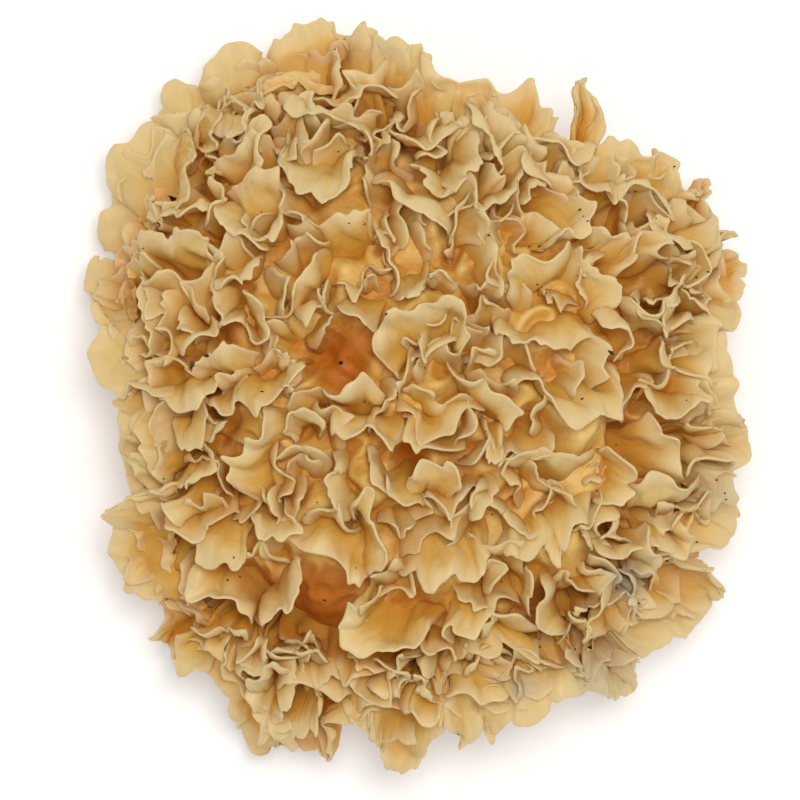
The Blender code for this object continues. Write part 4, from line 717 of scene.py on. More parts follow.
def frond_tree() -> bpy.types.NodeTree:
    """Builds the Geometry Nodes that ruffle open sheets and give them two sides and a round rim.

    Returns:
        The tree. It reads the sheets' own attributes edge and sheet: along the rim, from the rim, number.
    """
    number = "NodeSocketFloat"
    sheet, given, wanted = new_group(
        "ruffled_fronds", "GeometryNodeTree",
        [("Geometry", "NodeSocketGeometry", None),
         ("Ruffle Height", number, 0.9), ("Ruffle Length", number, 4.6), ("Ruffle Reach", number, 8.0),
         ("Wrinkle Height", number, 0.25), ("Wrinkle Length", number, 5.0),
         ("Crinkle Height", number, 0.36), ("Crinkle Length", number, 2.3), ("Curl", number, 0.8),
         ("Rim Thickness", number, 0.42), ("Body Thickness", number, 0.8), ("Rim Radius", number, 0.35),
         ("Seed", number, 0.0), ("Material", "NodeSocketMaterial", None)],
        [("Geometry", "NodeSocketGeometry")])
    parts = sheet.add("ShaderNodeSeparateXYZ")
    sheet.feed(parts.inputs[0], sheet.own_value("sheet", "FLOAT_VECTOR"))
    along, from_rim, frond = parts.outputs
    edge = sheet.own_value("edge", "FLOAT")
    shift = sheet.total(sheet.product(frond, 13.7), given["Seed"])

    def across(length: object, stretch: float) -> bpy.types.NodeSocket:
        """Finds where a pattern is read whose folds run from the foot to the rim.

        Args:
            length: Length of one fold along the rim.
            stretch: How many times as long it is from foot to rim.

        Returns:
            The place's output.
        """
        spot = sheet.add("ShaderNodeCombineXYZ")
        sheet.feed(spot.inputs[0], sheet.math("DIVIDE", along, length))
        sheet.feed(spot.inputs[1], sheet.math("DIVIDE", from_rim, sheet.product(length, stretch)))
        sheet.feed(spot.inputs[2], shift)
        return spot.outputs[0]

    def swing(length: object, stretch: float) -> bpy.types.NodeSocket:
        """Gives a smooth value from -0.5 to 0.5 across the sheets."""
        return sheet.less(sheet.noise(across(length, stretch), 1.0, 1.0), 0.5)

    def moved(geometry: object, height: object) -> bpy.types.NodeSocket:
        """Moves the sheets along their normals.

        Args:
            geometry: The sheets.
            height: How far, in millimetres.

        Returns:
            The moved sheets.
        """
        normal = sheet.add("GeometryNodeInputNormal")
        step = sheet.add("GeometryNodeSetPosition")
        sheet.feed(step.inputs["Geometry"], geometry)
        sheet.feed(step.inputs["Offset"], sheet.scaled(normal.outputs[0], sheet.product(height, MM)))
        return step.outputs[0]

    near_rim = sheet.eased(from_rim, 0.0, given["Ruffle Reach"], 1.0, 0.0)
    ruffle = sheet.product(swing(given["Ruffle Length"], 3.0), 3.2)
    liveliness = sheet.eased(sheet.noise(across(LIVELY_STRETCH, 4.0), 1.0, 0.0), 0.35, 0.65, 0.15, 1.35)
    ruffle = sheet.product(ruffle, near_rim, given["Ruffle Height"], liveliness)
    side = sheet.less(sheet.noise(across(CURL_STRETCH, 6.0), 1.0, 0.0), 0.42)
    curl = sheet.product(sheet.eased(from_rim, 0.0, CURL_REACH, 1.0, 0.0), side, 3.5, given["Curl"])
    height = sheet.total(ruffle, curl)
    crease = sheet.math("ABSOLUTE", swing(given["Wrinkle Length"], 1.5))
    calm = sheet.eased(from_rim, CALM_FROM, CALM_TO, 1.0, 0.2)
    wrinkle = sheet.product(sheet.less(0.6, sheet.product(crease, 8.0)), given["Wrinkle Height"], calm)
    crinkle = sheet.product(swing(given["Crinkle Length"], 1.2), 2.0, given["Crinkle Height"], calm)
    shaped = moved(moved(moved(given["Geometry"], height), wrinkle), crinkle)

    thickness = sheet.eased(from_rim, 0.0, THICKENING, given["Rim Thickness"], given["Body Thickness"])
    inset = sheet.math("MINIMUM", sheet.math("DIVIDE", edge, given["Rim Radius"]), 1.0)
    inset = sheet.less(1.0, inset)
    rounding = sheet.math("SQRT", sheet.less(1.0, sheet.product(inset, inset)))
    half = sheet.product(thickness, 0.5, rounding)
    kept = sheet.add("GeometryNodeCaptureAttribute")
    kept.capture_items.new("VECTOR", "Normal")
    sheet.feed(kept.inputs["Geometry"], shaped)
    sheet.feed(kept.inputs[1], sheet.add("GeometryNodeInputNormal").outputs[0])
    sides = []
    for way in (1.0, -1.0):
        step = sheet.add("GeometryNodeSetPosition")
        sheet.feed(step.inputs["Geometry"], kept.outputs["Geometry"])
        sheet.feed(step.inputs["Offset"], sheet.scaled(kept.outputs[1], sheet.product(half, way * MM)))
        sides.append(step.outputs[0])
    turned = sheet.add("GeometryNodeFlipFaces")
    sheet.feed(turned.inputs[0], sides[1])
    both = sheet.add("GeometryNodeJoinGeometry")
    sheet.feed(both.inputs[0], sides[0])
    sheet.feed(both.inputs[0], turned.outputs[0])
    closed = sheet.add("GeometryNodeMergeByDistance")
    sheet.feed(closed.inputs["Geometry"], both.outputs[0])
    closed.inputs["Distance"].default_value = WELD * MM
    smooth = sheet.add("GeometryNodeSetShadeSmooth")
    sheet.feed(smooth.inputs["Geometry"], closed.outputs[0])
    sheet.dress(smooth.outputs[0], given["Material"], wanted["Geometry"])
    return sheet.tree


def crumb_tree() -> bpy.types.NodeTree:
    """Builds the Geometry Nodes that set one small angular crumb on each point.

    Returns:
        The tree. It reads each point's own attribute size, in millimetres.
    """
    number = "NodeSocketFloat"
    sheet, given, wanted = new_group(
        "bark_crumbs", "GeometryNodeTree",
        [("Geometry", "NodeSocketGeometry", None), ("Squash", number, 0.45), ("Roughness", number, 0.35),
         ("Seed", "NodeSocketInt", 5), ("Material", "NodeSocketMaterial", None)],
        [("Geometry", "NodeSocketGeometry")])
    ball = sheet.add("GeometryNodeMeshIcoSphere")
    ball.inputs["Radius"].default_value = 0.5
    ball.inputs["Subdivisions"].default_value = 2
    jag = sheet.add("GeometryNodeSetPosition")
    sheet.feed(jag.inputs["Geometry"], ball.outputs[0])
    where = sheet.add("GeometryNodeInputPosition").outputs[0]
    push = sheet.product(sheet.less(sheet.noise(where, 2.4, 1.0), 0.5), given["Roughness"], 3.0)
    sheet.feed(jag.inputs["Offset"], sheet.scaled(where, push))
    size = sheet.product(sheet.own_value("size", "FLOAT"), MM)
    turn = sheet.add("FunctionNodeRandomValue", data_type="FLOAT_VECTOR")
    turn.inputs["Max"].default_value = (2 * math.pi, 2 * math.pi, 2 * math.pi)
    sheet.feed(turn.inputs["Seed"], given["Seed"])
    shape = sheet.add("ShaderNodeCombineXYZ")
    sheet.feed(shape.inputs[0], 1.0)
    sheet.feed(shape.inputs[1], given["Squash"])
    sheet.feed(shape.inputs[2], given["Squash"])
    set_down = sheet.add("GeometryNodeInstanceOnPoints")
    sheet.feed(set_down.inputs["Points"], given["Geometry"])
    sheet.feed(set_down.inputs["Instance"], jag.outputs[0])
    sheet.feed(set_down.inputs["Rotation"], turn.outputs[0])
    sheet.feed(set_down.inputs["Scale"], sheet.scaled(shape.outputs[0], size))
    sheet.dress(set_down.outputs[0], given["Material"], wanted["Geometry"])
    return sheet.tree


def grown(obj: bpy.types.Object, tree: bpy.types.NodeTree, sizes: dict[str, object]) -> bpy.types.Object:
    """Runs a Geometry Nodes tree on an object and keeps the result as its plain mesh.

    Args:
        obj: The object that the tree reads.
        tree: The tree.
        sizes: The tree's inputs by name.

    Returns:
        The same object, with no modifier left.
    """
    modifier = obj.modifiers.new(tree.name, "NODES")
    modifier.node_group = tree
    sockets = {s.name: s.identifier for s in tree.interface.items_tree if s.in_out == "INPUT"}
    for name, value in sizes.items():
        modifier[sockets[name]] = value
    graph = bpy.context.evaluated_depsgraph_get()
    mesh = bpy.data.meshes.new_from_object(obj.evaluated_get(graph))
    obj.modifiers.clear()
    obj.data = mesh
    mesh.name = obj.name
    return obj


def add_piece(name: str, mesh: bpy.types.Mesh) -> bpy.types.Object:
    """Puts a mesh in the scene as an object at the origin.

    Args:
        name: The object's name.
        mesh: The mesh.

    Returns:
        The object.
    """
    obj = bpy.data.objects.new(name, mesh)
    bpy.context.scene.collection.objects.link(obj)
    return obj


def grid_mesh(name: str, grids: list[Sheet]) -> bpy.types.Mesh:
    """Joins open sheets in one mesh, with the attributes that the ruffling reads.

    Args:
        name: The mesh's name.
        grids: The sheets.

    Returns:
        The mesh, in metres.
    """
    points, faces, places, edges, pales = [], [], [], [], []
    start = 0
    for sheet in grids:
        rows, columns = sheet.points.shape[:2]
        index = np.arange(rows * columns).reshape(rows, columns) + start
        quads = np.stack([index[:-1, :-1], index[:-1, 1:], index[1:, 1:], index[1:, :-1]], axis=-1)
        points.append(sheet.points.reshape(-1, 3))
        faces.append(quads.reshape(-1, 4))
        places.append(np.stack([sheet.along, sheet.from_rim, np.full_like(sheet.along, sheet.number)],
                               axis=-1).reshape(-1, 3))
        edges.append(sheet.edge.reshape(-1))
        pales.append(np.full(rows * columns, sheet.pale))
        start += rows * columns
    mesh = bpy.data.meshes.new(name)
    mesh.from_pydata((np.vstack(points) * MM).tolist(), [], np.vstack(faces).tolist())
    for label, kind, key, values in (("sheet", "FLOAT_VECTOR", "vector", np.vstack(places)),
                                     ("edge", "FLOAT", "value", np.concatenate(edges)),
                                     ("pale", "FLOAT", "value", np.concatenate(pales))):
        layer = mesh.attributes.new(label, kind, "POINT")
        layer.data.foreach_set(key, np.ascontiguousarray(values, np.float32).ravel())
    return mesh


def spot_strength(points: np.ndarray, spots: list[tuple]) -> np.ndarray:
    """Finds how far each point is inside round soft-edged spots seen from above.

    Args:
        points: The points, in millimetres.
        spots: (x, y, radius, strength) of each.

    Returns:
        The strengths, 0 to 1.
    """
    found = np.zeros(len(points))
    for x, y, radius, strength in spots:
        distance = np.hypot(points[:, 0] - x, points[:, 1] - y)
        found = np.maximum(found, strength * (1 - smoothstep(0.35 * radius, 1.25 * radius, distance)))
    return found


def mesh_points(mesh: bpy.types.Mesh) -> np.ndarray:
    """Reads a mesh's points.

    Args:
        mesh: The mesh.

    Returns:
        The points in metres, one to a row.
    """
    points = np.empty(len(mesh.vertices) * 3, np.float32)
    mesh.vertices.foreach_get("co", points)
    return points.reshape(-1, 3)


def mark_depths(mesh: bpy.types.Mesh) -> None:
    """Gives a finished mesh the attributes that its colours follow: depth, stain_and_shade (stain and painted
    shade in some hollows), white and grey.

    Args:
        mesh: The mesh.
    """
    points = mesh_points(mesh) / MM
    depth = dome_height(points[:, 0], points[:, 1]) - points[:, 2]
    # The hollows' red-brown is partly stain and partly painted shade, so it is kept to tissue that lies deep.
    sunk = smoothstep(1.5, 6.0, depth)
    marks = {"depth": depth, "stain_and_shade": spot_strength(points, STAINED_AND_SHADED_HOLLOWS) * sunk,
             "white": spot_strength(points, PALE_PLACES), "grey": spot_strength(points, GREY_PATCHES)}
    for label, values in marks.items():
        layer = mesh.attributes.new(label, "FLOAT", "POINT")
        layer.data.foreach_set("value", np.ascontiguousarray(values, np.float32))


@dataclass
class Sheet:
    """An open sheet on a grid, foot at row 0 and rim at the last row, with what the colours read.

    Attributes:
        points: The grid's points.
        along: How far along the rim each lies.
        from_rim: How far below the rim each lies.
        edge: How far each lies from the nearest edge of the sheet.
        number: Tells the fronds apart.
        pale: How far the pale veil comes in from the rim, against the usual.
    """

    points: np.ndarray
    along: np.ndarray
    from_rim: np.ndarray
    edge: np.ndarray
    number: float
    pale: float


class Fineness(Enum):
    """How finely fronds are drawn: step along the rim, rows from foot to rim, and where extra rows lie."""

    SHOWN = (0.5, 18, (0.1, 0.3, 0.7))
    BETWEEN = (0.7, 11, (0.12, 0.4))
    UNDERNEATH = (1.0, 11, (0.12, 0.4))


@dataclass
class FrondSet:
    """Fronds that are drawn alike and make one piece.

    Attributes:
        name: The piece's name.
        rims: (rim in space, lean) of each frond.
        fineness: How finely they are drawn.
        ruffle: Height of the rim's ruffles.
        curl: How far the rim curls over.
        wrinkle: Height of the small creases.
        frill: How far the rim's edge wanders in and out.
        sunk_ends: How far both ends of the rim sink, so that the frond runs into its neighbours.
        pale: How far the pale veil comes in from the rim, against the usual.
        seed: Sets the wandering.
    """

    name: str
    rims: list[tuple[np.ndarray, np.ndarray]]
    fineness: Fineness = Fineness.SHOWN
    ruffle: float = 0.66
    curl: float = 0.55
    wrinkle: float = 0.22
    frill: float = 0.34
    sunk_ends: float = 2.6
    pale: float = 1.0
    seed: int = 1

    def sheet(self, number: int, rim: np.ndarray, lean: np.ndarray) -> Sheet:
        """Draws one frond.

        Args:
            number: The frond's number in the set.
            rim: Its rim's points.
            lean: From the rim's middle to the frond's bend.

        Returns:
            The open sheet.
        """
        step, row_count, rim_rows = self.fineness.value
        dense = smooth_curve(rim, 0.25)
        run = np.concatenate([[0], np.cumsum(np.linalg.norm(np.diff(dense, axis=0), axis=1))])
        length = run[-1]
        ends = np.array((0.0,) + rim_rows)
        inner = np.linspace(ends[-1] + 0.6, length - ends[-1] - 0.6, max(4, round(length / step)))
        along = np.concatenate([ends, inner, length - ends[::-1]])
        edge = np.stack([np.interp(along, run, dense[:, k]) for k in range(3)], axis=-1)
        even = np.linspace(0, length, 60)
        middle = np.stack([np.interp(even, run, dense[:, k]) for k in range(3)]).mean(axis=1)
        edge[:, 2] -= self.sunk_ends * np.abs(2 * along / length - 1) ** 5
        knee = middle + lean
        outward = knee - GROWTH_CENTRE
        root = GROWTH_CENTRE + outward * (ROOT_REACH / np.linalg.norm(outward))

        speed = max(6.0, 2 * float(np.linalg.norm(lean)))
        rows = 1 - (1 - np.linspace(0, 1, row_count)) ** 1.6
        close = [1 - gap / speed for gap in rim_rows]
        rows = np.sort(np.concatenate([rows[rows < min(close) - 0.3 / speed], [0.01], close, [1.0]]))
        up = rows[:, None, None]
        wander = Wobble(self.seed * 1000 + number, 5.0).along(along) + 0.5 * Wobble(number, 2.3).along(along)
        frill = self.frill / speed * wander[None, :, None]
        up = up * (1 + frill * up ** 6)

        chord = edge[0] + (edge[-1] - edge[0]) * (along / length)[:, None]
        reach = (chord - middle)[None]
        sway = 1 + 0.07 * np.sin(7 * rows + number)[:, None, None] * (1 - rows[:, None, None] ** 3)
        low = root + reach * ROOT_SPREAD
        bend = knee + reach * KNEE_SPREAD * sway
        high = middle + reach
        fold = (edge - chord)[None] * up ** RUFFLE_FADE
        points = low * (1 - up) ** 2 + bend * (2 * up * (1 - up)) + high * up ** 2 + fold
        points = CRUMPLE(WARP(points))

        steps_up = np.linalg.norm(np.diff(points, axis=0), axis=-1)
        from_foot = np.vstack([np.zeros(points.shape[1]), np.cumsum(steps_up, axis=0)])
        from_rim = from_foot[-1] - from_foot
        steps_on = np.linalg.norm(np.diff(points, axis=1), axis=-1)
        from_side = np.hstack([np.zeros((len(points), 1)), np.cumsum(steps_on, axis=1)])
        from_side = np.minimum(from_side, from_side[:, -1:] - from_side)
        near = np.minimum(np.minimum(from_rim, from_side), from_foot)
        pale = self.pale * (1 + 0.4 * math.sin(12.9898 * number + self.seed))
        return Sheet(points, np.broadcast_to(along, from_rim.shape).copy(), from_rim, near,
                     self.seed * 100 + number, pale)

    def build(self, tree: bpy.types.NodeTree, material: bpy.types.Material) -> bpy.types.Object:
        """Makes the piece.

        Args:
            tree: The Geometry Nodes that finish the sheets.
            material: The fronds' finish.

        Returns:
            The piece, a plain closed mesh.
        """
        sheets = [self.sheet(number, rim, lean) for number, (rim, lean) in enumerate(self.rims)]
        obj = add_piece(self.name, grid_mesh(self.name, sheets))
        sizes = {"Ruffle Height": self.ruffle, "Curl": self.curl, "Wrinkle Height": self.wrinkle,
                 "Seed": float(self.seed), "Material": material}
        grown(obj, tree, sizes)
        keep_inside(obj.data)
        mark_depths(obj.data)
        return obj


def keep_inside(mesh: bpy.types.Mesh) -> None:
    """Holds a mesh above the plane of the cut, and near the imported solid's box.

    Args:
        mesh: The mesh.
    """
    low = np.array(CAD_BOX[0])
    high = np.array(CAD_BOX[1])
    slack = BOX_SLACK * (high - low)
    floor = np.array((low[0] - slack[0], low[1] - slack[1], LOWEST_POINT * MM))
    mesh.vertices.foreach_set("co", np.clip(mesh_points(mesh), floor, high + slack).ravel())
    mesh.update()


def dome_rise(rim: np.ndarray, lean: np.ndarray) -> float:
    """Finds how much the dome rises from the middle of a rim to above its bend.

    Args:
        rim: The rim's points.
        lean: From the rim's middle to the bend.

    Returns:
        The rise.
    """
    middle = rim.mean(axis=0)
    heights = dome_height(middle[0] + np.array((lean[0], 0.0)), middle[1] + np.array((lean[1], 0.0)))
    return float(heights[0] - heights[1])


def photographed_rims(fronds: list[Frond]) -> list[tuple[np.ndarray, np.ndarray]]:
    """Sets the given fronds up on the dome.

    Args:
        fronds: The fronds.

    Returns:
        (rim in space, lean) of each.
    """
    found = []
    for frond in fronds:
        rim = np.array(frond.rim, float)
        rim[:, 2] = dome_height(rim[:, 0], rim[:, 1]) - rim[:, 2]
        lean = np.array(frond.lean, float)
        lean[2] += dome_rise(rim, lean)
        found.append((rim, lean))
    return found


class Outline:
    """How far out the photographed outline's nearer notches lie in each direction."""

    def __init__(self, fronds: list[Frond], window: float = OUTLINE_WINDOW) -> None:
        """Reads the outline off its fronds.

        Args:
            fronds: The fronds of the outline.
            window: How far to each side of a direction the rims count, in radians.
        """
        spots = np.array([point[:2] for frond in fronds for point in frond.rim], float)
        angles, radii = np.arctan2(spots[:, 1], spots[:, 0]), np.hypot(spots[:, 0], spots[:, 1])
        self.turns = np.linspace(-math.pi, math.pi, 121)
        off = (angles[None] - self.turns[:, None] + math.pi) % (2 * math.pi) - math.pi
        found = np.array([np.quantile(radii[np.abs(row) < window], 0.25) for row in off])[:-1]
        weights = ((-2, 1), (-1, 2), (0, 3), (1, 2), (2, 1))
        found = sum(weight * np.roll(found, k) for k, weight in weights) / 9
        self.reaches = np.append(found, found[0])

    def reach(self, angle: np.ndarray) -> np.ndarray:
        """Finds how far out the outline lies."""
        return np.interp((angle + math.pi) % (2 * math.pi) - math.pi, self.turns, self.reaches)

    def holds(self, x: float, y: float, margin: float) -> bool:
        """Tells whether a place is well inside the outline."""
        return math.hypot(x, y) < float(self.reach(np.array(math.atan2(y, x)))) - margin


@dataclass
class UnderRings:
    """The fronds below the outline, ring by ring.

    Attributes:
        outline: The outline that the rings follow.
        tiers: The rings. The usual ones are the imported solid's.
        seed: Sets what differs from frond to frond.
        rim_points: How many points a rim has.
        lean: From a rim to its bend.
        lowest: No rim comes lower than this.
    """

    outline: Outline
    tiers: list[Tier] = field(default_factory=lambda: UNDER_TIERS)
    seed: int = 11
    rim_points: int = 7
    lean: float = 11.0
    lowest: float = 3.2

    def rims(self) -> Iterator[tuple[np.ndarray, np.ndarray]]:
        """Gives (rim in space, lean) of each frond.

        Returns:
            The fronds, one after another.
        """
        rng = random.Random(self.seed)
        for tier in self.tiers:
            for i in range(tier.count):
                middle = 2 * math.pi * (i + rng.uniform(-0.18, 0.18)) / tier.count
                half = math.pi * tier.cover / tier.count
                phase = rng.uniform(0, 2 * math.pi)
                rim = []
                for k in range(self.rim_points):
                    share = 2 * k / (self.rim_points - 1) - 1
                    angle = middle + half * share
                    wander = 1 - 0.10 * share * share + rng.uniform(-0.03, 0.03)
                    reach = float(self.outline.reach(np.array(angle))) * tier.reach * wander
                    height = max(self.lowest, tier.height + tier.wave * math.sin(phase + 3.4 * share))
                    rim.append((reach * math.cos(angle), reach * math.sin(angle), height))
                lean = (-self.lean * math.cos(middle), -self.lean * math.sin(middle), 0.18 * self.lean)
                yield np.array(rim), np.array(lean)


@dataclass
class SmallFronds:
    """Small fronds between and below the large ones, spread evenly over the dome by a sunflower's rule.

    Attributes:
        count: How many places there are for them.
        depths: The least and greatest depth of their rims below the dome.
        length: Usual length of a rim.
        outline: The outline that they stay inside.
        seed: Sets what differs from frond to frond.
        gap: A place is taken only where the fronds already there lie deeper than this.
        margin: How far inside the outline the places are.
    """

    count: int
    depths: tuple[float, float]
    length: float
    outline: Outline
    seed: int
    gap: float
    margin: float

    def rims(self, covered: Surfaces) -> Iterator[tuple[np.ndarray, np.ndarray]]:
        """Gives (rim in space, lean) of each frond.

        Args:
            covered: The fronds already there, which decide what places are taken.

        Returns:
            The fronds, one after another.
        """
        rng = random.Random(self.seed)
        for i in range(self.count):
            out = math.sqrt((i + 0.5) / self.count)
            turn = i * GOLDEN_TURN + rng.uniform(-0.1, 0.1)
            x = HALF_WIDTH * out * math.cos(turn)
            y = HALF_LENGTH * out * math.sin(turn)
            facing = rng.uniform(0, 2 * math.pi)
            length = self.length * rng.uniform(0.7, 1.3)
            bow = rng.uniform(0.8, 3.0)
            phase = rng.uniform(0, 2 * math.pi)
            depth = rng.uniform(*self.depths)
            back = rng.uniform(2.2, 4.5)
            if not self.open_at(x, y, covered):
                continue
            rim = []
            for k in range(7):
                share = k / 3 - 1
                side = 0.5 * length * share
                forward = bow * (1 - share * share) + 0.8 * math.sin(phase + 4.6 * share)
                px = x + side * math.cos(facing) - forward * math.sin(facing)
                py = y + side * math.sin(facing) + forward * math.cos(facing)
                deep = depth + 0.7 * math.sin(1.7 * phase + 5.0 * share) + 1.8 * abs(share) ** 3
                rim.append((px, py, float(dome_height(np.array(px), np.array(py))) - deep))
            lean = np.array((back * math.sin(facing), -back * math.cos(facing), -3.5))
            lean[2] += dome_rise(np.array(rim), lean)
            if sum(covered.top(px, py) < pz + 0.2 for px, py, pz in rim) > 5:
                yield np.array(rim), lean

    def open_at(self, x: float, y: float, covered: Surfaces) -> bool:
        """Tells whether a frond may stand at a place: in a gap, and not in a hollow that stays open.

        Args:
            x: To the photograph's right.
            y: Towards the photograph's top.
            covered: The fronds already there.

        Returns:
            True if it may.
        """
        if not self.outline.holds(x, y, self.margin):
            return False
        if any(math.hypot(x - hx, y - hy) < 0.9 * radius and strength > 0.65
               for hx, hy, radius, strength in STAINED_AND_SHADED_HOLLOWS):
            return False
        gap = self.gap if self.outline.holds(x, y, 11.0) else 0.5 * self.gap
        return float(dome_height(np.array(x), np.array(y))) - covered.top(x, y) > gap


@dataclass
class BrimFronds:
    """Small overlapping fronds just inside the outline, where the photograph shows ruffles up to the edge.

    Attributes:
        rings: How many there are in each ring, and how far inside the edge it lies.
        length: Usual length of a rim.
        rise: The least and greatest height of a rim above what lies there.
        lean: How far inside and above its rim a frond bends down to the foot.
        seed: Sets what differs from frond to frond.
        least_height: What lies lower than this isn't part of the edge.
    """

    rings: tuple = ((42, 1.4), (38, 4.8))
    length: float = 9.0
    rise: tuple[float, float] = (0.5, 1.7)
    lean: tuple[float, float] = (4.5, -1.2)
    seed: int = 29
    least_height: float = 9.0

    def rims(self, covered: Surfaces) -> Iterator[tuple[np.ndarray, np.ndarray]]:
        """Gives (rim in space, lean) of each frond.

        Args:
            covered: The fronds that they lie on.

        Returns:
            The fronds, one after another.
        """
        rng = random.Random(self.seed)
        for count, inset in self.rings:
            for i in range(count):
                turn = 2 * math.pi * (i + rng.uniform(-0.3, 0.3)) / count
                facing = turn + rng.uniform(-0.45, 0.45)
                inside = inset + rng.uniform(-0.6, 1.2)
                half = 0.5 * self.length * rng.uniform(0.75, 1.3)
                bow = rng.uniform(0.8, 2.2)
                phase = rng.uniform(0, 2 * math.pi)
                rise = rng.uniform(*self.rise)
                out = np.array((math.cos(turn), math.sin(turn)))
                forward = np.array((math.cos(facing), math.sin(facing)))
                aside = np.array((-forward[1], forward[0]))
                shares = np.linspace(-1, 1, 7)[:, None]
                shape = aside * half * shares
                shape = shape + forward * (bow * (1 - shares ** 2) + 0.7 * np.sin(phase + 4.6 * shares))
                reach = self.edge(covered, out) - inside - bow
                for pull in range(6):
                    spots = out * (reach - pull) + shape
                    tops = np.array([covered.top(x, y) for x, y in spots])
                    if tops.min() > self.least_height:
                        break
                else:
                    continue
                heights = tops.mean() + np.clip(0.5 * (tops - tops.mean()), -2.0, 2.0) + rise
                heights = heights + 0.6 * np.sin(1.7 * phase + 5.0 * shares[:, 0])
                lean = np.array((-self.lean[0] * forward[0], -self.lean[0] * forward[1], self.lean[1]))
                yield np.column_stack([spots, heights]), lean

    def edge(self, covered: Surfaces, out: np.ndarray) -> float:
        """Finds how far out the fronds reach in one direction.

        Args:
            covered: The fronds.
            out: The direction, of length 1.

        Returns:
            The distance from the middle.
        """
        for reach in np.arange(64.0, 30.0, -0.5):
            if covered.top(*(out * reach)) > self.least_height:
                return float(reach)
        return 30.0


class Surfaces:
    """Finished pieces as a surface that can be felt from above."""

    def __init__(self, pieces: list[bpy.types.Object]) -> None:
        """Reads the pieces' meshes.

        Args:
            pieces: The pieces.
        """
        bpy.context.view_layer.update()
        graph = bpy.context.evaluated_depsgraph_get()
        self.trees = [BVHTree.FromObject(piece, graph) for piece in pieces]

    def top(self, x: float, y: float) -> float:
        """Finds the highest point at a place, in millimetres.

        Args:
            x: To the photograph's right.
            y: Towards the photograph's top.

        Returns:
            Its height, or minus infinity where there is nothing.
        """
        start = Vector((x * MM, y * MM, 2 * HEIGHT * MM))
        hits = [tree.ray_cast(start, Vector((0, 0, -1)))[0] for tree in self.trees]
        return max((hit.z / MM for hit in hits if hit is not None), default=-math.inf)


